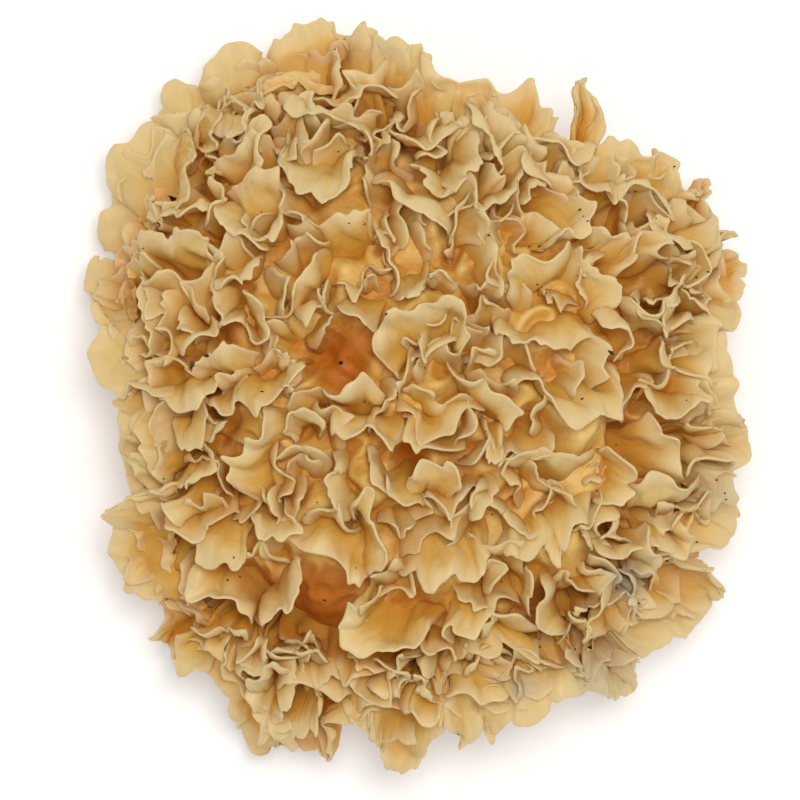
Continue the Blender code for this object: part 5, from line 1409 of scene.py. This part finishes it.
@dataclass
class GrownHeart:
    """The tissue that the fronds are grown together in: folded between them, and cut off flat at the foot.

    Attributes:
        outline: The outline that it stays inside.
        name: The piece's name.
        cells: How many cells the upper and the lower half have along each side.
        below_dome: How far the ground of its folds lies below the dome.
        brim_drop: How much deeper it lies at its brim.
        crown_share: How far out its upper half reaches, as a share of the outline.
        flank: (share of the outline, height) of the side and underside, down to the middle of the cut.
        fold: Height of its folds.
        hollow_depth: How much deeper a listed hollow goes at full strength.
        carve: How far it may be lowered to stay under the fronds' faces.
        brim_carve: How much further it may be lowered at its brim.
        clearance: How far below a frond's face it is then kept.
    """

    outline: Outline
    name: str = "grown_heart"
    cells: int = 196
    below_dome: float = 5.0
    brim_drop: float = 5.0
    crown_share: float = 0.85
    flank: tuple = ((0.88, 18.5), (0.89, 15.5), (0.87, 12.5), (0.79, 9.5), (0.66, 7.4), (0.50, 5.8),
                    (0.38, 4.4), (0.325, 3.0), (0.31, 1.4), (0.305, 0.4), (0.29, 0.0), (0.22, 0.0),
                    (0.14, 0.0), (0.07, 0.0), (0.0, 0.0))
    fold: float = 2.0
    hollow_depth: float = 4.5
    carve: float = 3.4
    brim_carve: float = 2.0
    clearance: float = 1.6

    def disc(self) -> tuple[np.ndarray, np.ndarray]:
        """Spreads a square grid over a round disc.

        Returns:
            How far out each point lies, 0 to 1, and its direction.
        """
        side = np.linspace(-1, 1, self.cells + 1)
        u, v = np.meshgrid(side, side, indexing="ij")
        x, y = u * np.sqrt(1 - v * v / 2), v * np.sqrt(1 - u * u / 2)
        return np.clip(np.hypot(x, y), 0, 1), np.arctan2(y, x)

    def crown(self) -> np.ndarray:
        """Draws the upper half, below the dome.

        Returns:
            Its points.
        """
        out, turn = self.disc()
        reach = out * self.crown_share * self.outline.reach(turn)
        x, y = reach * np.cos(turn), reach * np.sin(turn)
        deeper = self.brim_drop * smoothstep(0.6, 1.0, out)
        return np.stack([x, y, dome_height(x, y) - self.below_dome - deeper], axis=-1)

    def underside(self, brim: np.ndarray) -> np.ndarray:
        """Draws the lower half.

        Args:
            brim: Height of the upper half's edge in each point's direction.

        Returns:
            Its points.
        """
        out, turn = self.disc()
        start = float(brim.mean())
        corners = ((self.crown_share, start),) + self.flank
        profile = np.array([(50 * share, 0, z) for share, z in corners])
        line = smooth_curve(profile, 0.5)
        run = np.concatenate([[0], np.cumsum(np.linalg.norm(np.diff(line, axis=0), axis=1))])
        place = (1 - out) * run[-1]
        share, height = np.interp(place, run, line[:, 0]) / 50, np.interp(place, run, line[:, 2])
        height = np.where(height < 0.04, 0.0, height) + (brim - start) * smoothstep(14.0, start, height)
        reach = share * self.outline.reach(turn)
        return np.stack([reach * np.cos(turn), reach * np.sin(turn), height], axis=-1)

    def folds(self, points: np.ndarray) -> np.ndarray:
        """Finds how high the folds stand: thin wandering crests with round valleys between.

        Args:
            points: The smooth shape's points.

        Returns:
            The heights, from 0 to about 1.
        """
        bent = Warp(71, 9.0, 1.6)(points)
        broad = self.crests(Wobble(72, 13.0, 12), bent, 0.38)
        narrow = self.crests(Wobble(73, 8.5, 12), bent, 0.42)
        fine = self.crests(Wobble(74, 4.6, 14), bent, 0.4)
        both = broad + 0.7 * narrow * (1 - broad)
        return both + 0.3 * fine * (1 - 0.5 * both)

    @staticmethod
    def crests(wobble: Wobble, points: np.ndarray, width: float) -> np.ndarray:
        """Raises a crest wherever a wandering value passes through 0."""
        return np.exp(-(wobble.at(points) / width) ** 2)

    def shaped(self, points: np.ndarray) -> tuple[np.ndarray, np.ndarray]:
        """Raises the folds and lowers the hollows that are coloured with stain and painted shade.

        Args:
            points: The smooth shape's points.

        Returns:
            The new points, and the folds' height at each.
        """
        flat = points.reshape(-1, 3)
        drop = spot_strength(flat, STAINED_AND_SHADED_HOLLOWS) * smoothstep(18.0, 30.0, flat[:, 2])
        fold = self.folds(flat) * smoothstep(0.0, 7.0, flat[:, 2]) * (1 - 0.25 * drop)
        swell = 0.7 * Wobble(5, 14.0, 9).at(flat) * smoothstep(0.0, 7.0, flat[:, 2])
        outward = flat - GROWTH_CENTRE
        outward /= np.linalg.norm(outward, axis=-1)[:, None]
        flat = flat + outward * (self.fold * fold + swell)[:, None]
        flat[:, 2] -= self.hollow_depth * drop
        return flat.reshape(points.shape), fold.reshape(points.shape[:2])

    def carved(self, points: np.ndarray, fronds: Surfaces) -> np.ndarray:
        """Lowers the upper half where it would cover the face of a frond.

        Args:
            points: The upper half's points.
            fronds: The fronds.

        Returns:
            The new points.
        """
        tops = np.array([[fronds.top(x, y) for x, y, _ in row] for row in points])
        room = np.clip(points[..., 2] - tops + self.clearance, 0, 100)
        most = self.carve + self.brim_carve * smoothstep(0.75, 0.95, self.disc()[0])
        sunk = np.where(room < most, room, most * (1 - smoothstep(1.0, 2.2, room / most)))
        soft = sunk
        for axis in (0, 1, 0, 1):
            soft = np.maximum(soft, np.maximum(np.roll(soft, 1, axis=axis), np.roll(soft, -1, axis=axis)))
        for _ in range(5):
            soft = sum(np.roll(soft, k, axis=0) for k in (-1, 0, 1)) / 3
            soft = sum(np.roll(soft, k, axis=1) for k in (-1, 0, 1)) / 3
        points = points.copy()
        points[..., 2] -= soft
        for _ in range(2):
            points[1:-1] = 0.25 * points[:-2] + 0.5 * points[1:-1] + 0.25 * points[2:]
            points[:, 1:-1] = 0.25 * points[:, :-2] + 0.5 * points[:, 1:-1] + 0.25 * points[:, 2:]
        return points

    def build(self, fronds: Surfaces, material: bpy.types.Material) -> bpy.types.Object:
        """Makes the piece.

        Args:
            fronds: The fronds, whose faces it stays under.
            material: Its finish.

        Returns:
            The piece, a closed mesh.
        """
        _, turn = self.disc()
        brim = [self.crown_share * self.outline.reach(turn) * way for way in (np.cos(turn), np.sin(turn))]
        upper, upper_fold = self.shaped(self.crown())
        upper = self.carved(upper, fronds)
        lower, lower_fold = self.shaped(self.underside(dome_height(*brim) - self.below_dome - self.brim_drop))
        size = self.cells + 1
        index = np.arange(size * size).reshape(size, size)
        under = index + size * size
        for border in (np.s_[0], np.s_[-1], np.s_[:, 0], np.s_[:, -1]):
            under[border] = index[border]
        faces = np.vstack([self.quads(index), self.quads(under)[:, ::-1]])
        used, faces = np.unique(faces, return_inverse=True)
        points = np.vstack([upper.reshape(-1, 3), lower.reshape(-1, 3)])[used]
        fold = np.concatenate([upper_fold.ravel(), lower_fold.ravel()])[used].astype(np.float32)
        mesh = bpy.data.meshes.new(self.name)
        mesh.from_pydata((points * MM).tolist(), [], faces.reshape(-1, 4).tolist())
        mesh.attributes.new("fold", "FLOAT", "POINT").data.foreach_set("value", fold)
        mesh.polygons.foreach_set("use_smooth", [True] * len(mesh.polygons))
        mesh.materials.append(material)
        mark_depths(mesh)
        return add_piece(self.name, mesh)

    @staticmethod
    def quads(index: np.ndarray) -> np.ndarray:
        """Lists the four corners of each cell of a grid."""
        corners = [index[:-1, :-1], index[1:, :-1], index[1:, 1:], index[:-1, 1:]]
        return np.stack(corners, axis=-1).reshape(-1, 4)


@dataclass
class BarkCrumbs:
    """Dark crumbs of bark caught on the fronds.

    Attributes:
        name: The piece's name.
        spots: (x, y, length) of each.
        sunk: How deep a crumb is pressed in.
    """

    name: str = "bark_crumbs"
    spots: list[tuple] = field(default_factory=lambda: CRUMBS)
    sunk: float = 0.05

    def build(self, on: Surfaces, tree: bpy.types.NodeTree, material: bpy.types.Material) -> bpy.types.Object:
        """Sets the crumbs down on what lies under them.

        Args:
            on: The pieces that may carry a crumb.
            tree: The Geometry Nodes that make the crumbs.
            material: Their finish.

        Returns:
            The piece.
        """
        places, sizes = [], []
        for x, y, length in self.spots:
            height = on.top(x, y)
            if height > 0:
                places.append((x * MM, y * MM, (height + 0.12 * length - self.sunk) * MM))
                sizes.append(length)
        mesh = bpy.data.meshes.new(self.name)
        mesh.from_pydata(places, [], [])
        mesh.attributes.new("size", "FLOAT", "POINT").data.foreach_set("value", sizes)
        obj = add_piece(self.name, mesh)
        return grown(obj, tree, {"Material": material})


def grain_group() -> bpy.types.NodeTree:
    """Builds the shader group of fine mottling, used by the fronds, the foot and the crumbs.

    Returns:
        The group: a fine Height, a broad Mottle and a small Speck, each 0 to 1.
    """
    number = "NodeSocketFloat"
    sheet, given, wanted = new_group(
        "dry_grain", "ShaderNodeTree",
        [("Fine Scale", number, 2600.0), ("Broad Scale", number, 160.0), ("Fineness", number, 0.5)],
        [("Height", number), ("Mottle", number), ("Speck", number)])
    where = sheet.add("ShaderNodeTexCoord").outputs["Object"]
    fine = sheet.noise(where, given["Fine Scale"], 3.0)
    middle = sheet.noise(where, sheet.product(given["Fine Scale"], 0.3), 2.0)
    height = sheet.total(sheet.product(fine, given["Fineness"]),
                         sheet.product(middle, sheet.less(1.0, given["Fineness"])))
    sheet.feed(wanted["Height"], height)
    sheet.feed(wanted["Mottle"], sheet.eased(sheet.noise(where, given["Broad Scale"], 2.0), 0.32, 0.68))
    small = sheet.noise(where, sheet.product(given["Broad Scale"], 5.0), 2.0)
    sheet.feed(wanted["Speck"], sheet.eased(small, 0.3, 0.7))
    return sheet.tree


def folds_group() -> bpy.types.NodeTree:
    """Builds the shader group of faint veins that run from the foot to the rim.

    Returns:
        The group: a Height from 0 to 1.
    """
    number = "NodeSocketFloat"
    sheet, given, wanted = new_group("rim_veins", "ShaderNodeTree", [("Vein Length", number, 0.9)],
                                     [("Height", number)])
    parts = sheet.add("ShaderNodeSeparateXYZ")
    sheet.feed(parts.inputs[0], sheet.attribute("sheet").outputs["Vector"])
    spot = sheet.add("ShaderNodeCombineXYZ")
    sheet.feed(spot.inputs[0], sheet.math("DIVIDE", parts.outputs[0], given["Vein Length"]))
    vein_run = sheet.product(given["Vein Length"], 5.0)
    sheet.feed(spot.inputs[1], sheet.math("DIVIDE", parts.outputs[1], vein_run))
    sheet.feed(spot.inputs[2], sheet.product(parts.outputs[2], 3.1))
    sheet.feed(wanted["Height"], sheet.noise(spot.outputs[0], 1.0, 2.0))
    return sheet.tree


@dataclass(frozen=True)
class FungusTones:
    """Colours of the dried fungus, in linear light.

    Attributes:
        edge: The very edge of a frond: partly its own pale colour, partly a painted highlight.
        rim: The pale veil near the rims.
        face: A frond's upper part, below the veil.
        gold: Its lower part, and tissue a little deeper down, there partly as painted shade.
        orange: What lies deep between the fronds: partly its own amber, partly painted shade.
        gap: The tissue below the fronds: its own amber, darkened partly as painted shade.
        deep_amber_and_shade: The same, where it lies deepest: darker, partly as painted shade.
        stain_and_shade: The listed hollows' red-brown, partly stain and partly painted shade.
        grey: The greyish patches.
        foot: The cut foot.
        foot_dark: The foot's darker mottling.
        crumb: Bark.
    """

    edge: tuple = (0.94, 0.785, 0.49, 1.0)
    rim: tuple = (0.92, 0.735, 0.35, 1.0)
    face: tuple = (0.88, 0.63, 0.20, 1.0)
    gold: tuple = (0.85, 0.51, 0.09, 1.0)
    orange: tuple = (0.83, 0.38, 0.03, 1.0)
    gap: tuple = (0.66, 0.38, 0.06, 1.0)
    deep_amber_and_shade: tuple = (0.60, 0.24, 0.014, 1.0)
    stain_and_shade: tuple = (0.52, 0.15, 0.004, 1.0)
    grey: tuple = (0.66, 0.60, 0.48, 1.0)
    foot: tuple = (0.52, 0.33, 0.13, 1.0)
    foot_dark: tuple = (0.25, 0.12, 0.035, 1.0)
    crumb: tuple = (0.035, 0.018, 0.010, 1.0)


class Finishes:
    """Makes the materials."""

    def __init__(self, tones: FungusTones, translucency: float = 0.32) -> None:
        """Builds the shared groups.

        Args:
            tones: The colours.
            translucency: The share of light that goes through a frond's surface.
        """
        self.tones = tones
        self.translucency = translucency
        self.grain = grain_group()
        self.veins = folds_group()

    def start(self, name: str) -> tuple[bpy.types.Material, NodeSheet, bpy.types.Node]:
        """Starts a material.

        Args:
            name: Its name.

        Returns:
            The material, the sheet for its nodes, and its shader.
        """
        material = bpy.data.materials.new(name)
        material.use_nodes = True
        sheet = NodeSheet(material.node_tree)
        return material, sheet, material.node_tree.nodes["Principled BSDF"]

    def group(self, sheet: NodeSheet, tree: bpy.types.NodeTree, **sizes: float) -> bpy.types.Node:
        """Places a shared group.

        Args:
            sheet: Where it goes.
            tree: The group.
            sizes: Its inputs, with _ for a space.

        Returns:
            The group's node.
        """
        node = sheet.add("ShaderNodeGroup", node_tree=tree)
        for name, value in sizes.items():
            node.inputs[name.replace("_", " ")].default_value = value
        return node

    def bumped(self, sheet: NodeSheet, shader: bpy.types.Node, height: object, strength: float,
               distance: float) -> bpy.types.NodeSocket:
        """Roughens a shader's surface.

        Args:
            sheet: The material's nodes.
            shader: The shader.
            height: The roughness pattern's output.
            strength: How strongly it shows, 0 to 1.
            distance: Its height in millimetres.

        Returns:
            The roughened normal's output.
        """
        bump = sheet.add("ShaderNodeBump")
        bump.inputs["Strength"].default_value = strength
        bump.inputs["Distance"].default_value = distance * MM
        sheet.feed(bump.inputs["Height"], height)
        sheet.feed(shader.inputs["Normal"], bump.outputs[0])
        return bump.outputs[0]

    def tissue_colour(self, sheet: NodeSheet, grain: bpy.types.Node) -> bpy.types.NodeSocket:
        """Colours tissue by how deep it lies: gold, then orange, partly its own amber and partly painted
        shade deep between the fronds, with red-brown in some hollows that is partly stain and partly painted
        shade.

        Args:
            sheet: The material's nodes.
            grain: The grain group in them.

        Returns:
            The colour's output.
        """
        tones = self.tones
        depth = sheet.mark("depth")
        # Gold, then orange, the deeper the tissue lies below the dome: partly its own amber, partly painted
        # shade and glow deep between the fronds.
        wander = sheet.total(depth, sheet.product(grain.outputs["Mottle"], 2.0))
        colour = sheet.blended(sheet.eased(wander, 1.2, 5.5), tones.face, tones.gold)
        colour = sheet.blended(sheet.eased(wander, 5.0, 11.0), colour, tones.orange)
        cloud = sheet.product(grain.outputs["Speck"], grain.outputs["Mottle"], 0.6)
        cloud = sheet.total(cloud, sheet.product(sheet.mark("white"), 0.6))
        # The pale clouds fade where the tissue lies deep, as part of the same painted shade.
        cloud = sheet.product(cloud, sheet.eased(depth, 2.0, 8.0, 1.0, 0.15))
        colour = sheet.blended(cloud, colour, tones.rim)
        # Red-brown in the listed hollows: partly stain, partly painted shade.
        return sheet.blended(sheet.mark("stain_and_shade"), colour, tones.stain_and_shade)

    def fronds(self) -> bpy.types.Material:
        """Makes the fronds' finish: horny and translucent, with a pale veil that fades away from the rims.

        Returns:
            The material.
        """
        material, sheet, shader = self.start("dried_fungus_fronds")
        tones = self.tones
        grain = self.group(sheet, self.grain)
        veins = self.group(sheet, self.veins)
        parts = sheet.add("ShaderNodeSeparateXYZ")
        sheet.feed(parts.inputs[0], sheet.attribute("sheet").outputs["Vector"])
        streaks = self.group(sheet, self.veins, Vein_Length=2.6)
        uneven = sheet.total(sheet.product(grain.outputs["Mottle"], 2.5),
                             sheet.eased(streaks.outputs["Height"], 0.35, 0.65, 3.0, 0.0))
        from_rim = sheet.total(parts.outputs[1], uneven)
        colour = self.tissue_colour(sheet, grain)
        colour = sheet.blended(sheet.eased(from_rim, 5.0, 13.0, 0.0, 0.6), colour, tones.gold)
        pale = sheet.mark("pale")
        reach = sheet.product(pale, 10.0)
        # Where a frond lies deep, its pale veil gives way to gold: painted shade of the pockets between the
        # rims.
        sunk = sheet.math("DIVIDE", sheet.mark("depth"), pale)
        kept = sheet.eased(sunk, 2.0, 5.5, 1.0, 0.35)
        veil = sheet.product(sheet.eased(from_rim, 1.0, reach, 0.92, 0.0), kept)
        colour = sheet.blended(veil, colour, tones.rim)
        # A paler band along the very edge: partly the thin rim's own colour, partly a painted highlight.
        colour = sheet.blended(sheet.eased(parts.outputs[1], 0.3, 4.0, 0.45, 0.0), colour, tones.edge)
        colour = sheet.blended(sheet.product(sheet.mark("grey"), 0.7), colour, tones.grey)
        vein = sheet.eased(veins.outputs["Height"], 0.3, 0.7, 0.97, 1.02)
        bright = sheet.add("ShaderNodeHueSaturation")
        sheet.feed(bright.inputs["Value"], vein)
        sheet.feed(bright.inputs["Color"], colour)
        sheet.feed(shader.inputs["Base Color"], bright.outputs[0])
        sheet.feed(shader.inputs["Roughness"], sheet.eased(grain.outputs["Mottle"], 0.0, 1.0, 0.34, 0.52))
        height = sheet.total(grain.outputs["Height"], sheet.product(veins.outputs["Height"], 0.4))
        rough = self.bumped(sheet, shader, height, 0.3, 0.25)
        shader.inputs["IOR"].default_value = 1.42
        shader.inputs["Specular IOR Level"].default_value = 0.45
        through = sheet.add("ShaderNodeBsdfTranslucent")
        sheet.feed(through.inputs["Color"], bright.outputs[0])
        sheet.feed(through.inputs["Normal"], rough)
        both = sheet.add("ShaderNodeMixShader")
        both.inputs[0].default_value = self.translucency
        sheet.feed(both.inputs[1], shader.outputs[0])
        sheet.feed(both.inputs[2], through.outputs[0])
        sheet.feed(material.node_tree.nodes["Material Output"].inputs["Surface"], both.outputs[0])
        return material

    def heart(self) -> bpy.types.Material:
        """Makes the finish of the tissue between the fronds and of the foot: gold to orange, darker and
        redder the deeper it lies (partly its own colour, partly painted shade), browner below.

        Returns:
            The material.
        """
        material, sheet, shader = self.start("dried_fungus_heart")
        tones = self.tones
        grain = self.group(sheet, self.grain, Fine_Scale=1500.0, Broad_Scale=260.0, Fineness=0.6)
        depth = sheet.mark("depth")
        fold = sheet.mark("fold")
        wander = sheet.total(depth, sheet.product(grain.outputs["Mottle"], 2.0))
        # Darker red-orange the deeper the tissue lies: partly its own colour, partly painted shade.
        colour = sheet.blended(sheet.eased(wander, 4.5, 10.0), tones.gap, tones.deep_amber_and_shade)
        colour = sheet.blended(sheet.eased(fold, 0.3, 1.0, 0.0, 0.5), colour, tones.face)
        pale = sheet.product(grain.outputs["Speck"], grain.outputs["Mottle"], 0.25)
        pale = sheet.total(pale, sheet.product(sheet.mark("white"), 0.35))
        colour = sheet.blended(pale, colour, tones.rim)
        # Red-brown in the listed hollows: partly stain, partly painted shade.
        colour = sheet.blended(sheet.mark("stain_and_shade"), colour, tones.stain_and_shade)
        base = sheet.blended(sheet.product(grain.outputs["Mottle"], 0.7), tones.foot, tones.foot_dark)
        colour = sheet.blended(sheet.eased(depth, 22.0, 36.0), colour, base)
        sheet.feed(shader.inputs["Base Color"], colour)
        sheet.feed(shader.inputs["Roughness"], sheet.eased(grain.outputs["Height"], 0.3, 0.7, 0.5, 0.75))
        self.bumped(sheet, shader, grain.outputs["Height"], 0.6, 0.4)
        return material

    def crumbs(self) -> bpy.types.Material:
        """Makes the crumbs' finish: dark, dull bark.

        Returns:
            The material.
        """
        material, sheet, shader = self.start("dark_bark")
        grain = self.group(sheet, self.grain, Fine_Scale=6000.0, Broad_Scale=900.0, Fineness=0.5)
        dark = tuple(0.5 * value for value in self.tones.crumb[:3]) + (1.0,)
        colour = sheet.blended(grain.outputs["Mottle"], self.tones.crumb, dark)
        sheet.feed(shader.inputs["Base Color"], colour)
        shader.inputs["Roughness"].default_value = 0.8
        self.bumped(sheet, shader, grain.outputs["Height"], 0.5, 0.05)
        return material


@dataclass
class Studio:
    """The floor, the lights, and the camera that looks straight down as the photograph does.

    Attributes:
        frame_width: Width of what the photograph shows, at the height of the rims.
        aim: The photograph's middle, from the middle of the foot.
        distance: From the camera to the rims, long because the places were read as if from far off.
        focus_height: Height of the rims that the camera is set for.
        sky: Brightness of the white room.
        key_power: Power of the lamp, in watts.
        key_size: Width of the lamp, in metres.
        key_place: Where the lamp hangs, in metres.
        floor_size: From the middle of the floor to its sides, in metres.
        floor_gap: How far the floor lies below the flat cut, so that the two faces don't touch.
    """

    frame_width: float = 120.0
    aim: tuple[float, float] = (-3.45, -0.45)
    distance: float = 1500.0
    focus_height: float = 34.0
    sky: float = 0.54
    key_power: float = 18.4
    key_size: float = 0.6
    key_place: tuple[float, float, float] = (0.14, 0.22, 1.90)
    floor_size: float = 3.0
    floor_gap: float = 0.05

    def build(self) -> None:
        """Builds the studio around the head."""
        self.add_floor()
        self.add_lights()
        self.add_camera()

    def add_floor(self) -> None:
        """Lays a plain pale floor under the head."""
        mesh = bpy.data.meshes.new("studio_floor")
        corners = [(x * self.floor_size, y * self.floor_size, -self.floor_gap * MM)
                   for x, y in ((-1, -1), (1, -1), (1, 1), (-1, 1))]
        mesh.from_pydata(corners, [], [(0, 1, 2, 3)])
        material = bpy.data.materials.new("studio_paper")
        material.use_nodes = True
        shader = material.node_tree.nodes["Principled BSDF"]
        shader.inputs["Base Color"].default_value = (0.94, 0.94, 0.94, 1.0)
        shader.inputs["Emission Color"].default_value = (0.94, 0.98, 1.0, 1.0)
        shader.inputs["Emission Strength"].default_value = 0.2
        shader.inputs["Roughness"].default_value = 0.9
        shader.inputs["Specular IOR Level"].default_value = 0.1
        mesh.materials.append(material)
        floor = add_piece("studio_floor", mesh)

    def add_lights(self) -> None:
        """Hangs one broad soft lamp high up, in an evenly lit white room."""
        world = bpy.data.worlds.new("white_room")
        world.use_nodes = True
        world.node_tree.nodes["Background"].inputs["Color"].default_value = (1.0, 0.995, 0.985, 1.0)
        world.node_tree.nodes["Background"].inputs["Strength"].default_value = self.sky
        bpy.context.scene.world = world
        lamp = bpy.data.lights.new("broad_lamp", "AREA")
        lamp.energy = self.key_power
        lamp.size = self.key_size
        lamp.color = (1.0, 0.98, 0.95)
        holder = bpy.data.objects.new("broad_lamp", lamp)
        place = Vector(self.key_place)
        holder.matrix_world = Matrix.Translation(place) @ place.to_track_quat("Z", "Y").to_matrix().to_4x4()
        bpy.context.scene.collection.objects.link(holder)

    def add_camera(self) -> None:
        """Sets the camera straight above."""
        camera = bpy.data.cameras.new("camera")
        camera.sensor_width = 36.0
        camera.sensor_fit = "HORIZONTAL"
        camera.lens = camera.sensor_width * self.distance / self.frame_width
        camera.clip_end = 10.0
        holder = bpy.data.objects.new("camera", camera)
        holder.location = (self.aim[0] * MM, self.aim[1] * MM, (self.focus_height + self.distance) * MM)
        bpy.context.scene.collection.objects.link(holder)
        bpy.context.scene.camera = holder
        bpy.context.scene.view_settings.view_transform = "Standard"


def large_fronds() -> list[FrondSet]:
    """Lists the fronds that were read off the photograph, piece by piece.

    Returns:
        The sets of fronds.
    """
    return [
        FrondSet("outline_fronds", photographed_rims(OUTLINE_FRONDS), sunk_ends=0.5, pale=1.8, ruffle=1.1,
                 curl=0.8, seed=1),
        FrondSet("upper_fronds", photographed_rims(UPPER_FRONDS), seed=2),
        FrondSet("middle_fronds", photographed_rims(MIDDLE_FRONDS), seed=3),
        FrondSet("lower_fronds", photographed_rims(LOWER_FRONDS), seed=4),
    ]


def settle(obj: bpy.types.Object) -> None:
    """Tells the frame what a piece is: on the body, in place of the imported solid.

    Args:
        obj: The piece.
    """
    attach(obj, "root")
    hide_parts(NODE)
    LOG.info("%s: %d faces", obj.name, len(obj.data.polygons))


def main() -> None:
    """Builds the head piece by piece, and then the studio."""
    logging.basicConfig(level=logging.INFO, format="%(name)s %(message)s")
    finishes = Finishes(FungusTones())
    skin = finishes.fronds()
    tree = frond_tree()
    outline = Outline(OUTLINE_FRONDS)
    pieces = [fronds.build(tree, skin) for fronds in large_fronds()]
    small = SmallFronds(count=320, depths=(1.2, 3.2), length=9.0, outline=outline, seed=23, gap=3.4,
                        margin=3.5)
    between = FrondSet("between_fronds", list(small.rims(Surfaces(pieces))), Fineness.BETWEEN, seed=5)
    pieces.append(between.build(tree, skin))
    brim = FrondSet("brim_fronds", list(BrimFronds().rims(Surfaces(pieces))), Fineness.BETWEEN, pale=1.6,
                    seed=7)
    pieces.append(brim.build(tree, skin))
    fillers = SmallFronds(count=460, depths=(1.6, 3.6), length=6.8, outline=outline, seed=41, gap=4.4,
                          margin=5.0)
    filling = FrondSet("filling_fronds", list(fillers.rims(Surfaces(pieces))), Fineness.BETWEEN, seed=8)
    pieces.append(filling.build(tree, skin))
    heart = GrownHeart(outline).build(Surfaces(pieces), finishes.heart())
    rings = list(UnderRings(outline).rims())
    rings += UnderRings(outline, FRINGE_TIERS, seed=12, lean=9.0).rims()
    under = FrondSet("under_fronds", rings, Fineness.UNDERNEATH, ruffle=1.0, sunk_ends=0.0, seed=6)
    pieces += [heart, under.build(tree, skin)]
    crumbs = BarkCrumbs().build(Surfaces(pieces), crumb_tree(), finishes.crumbs())
    for piece in pieces:
        settle(piece)
    settle(crumbs)
    Studio().build()


if __name__ == "__main__":
    main()
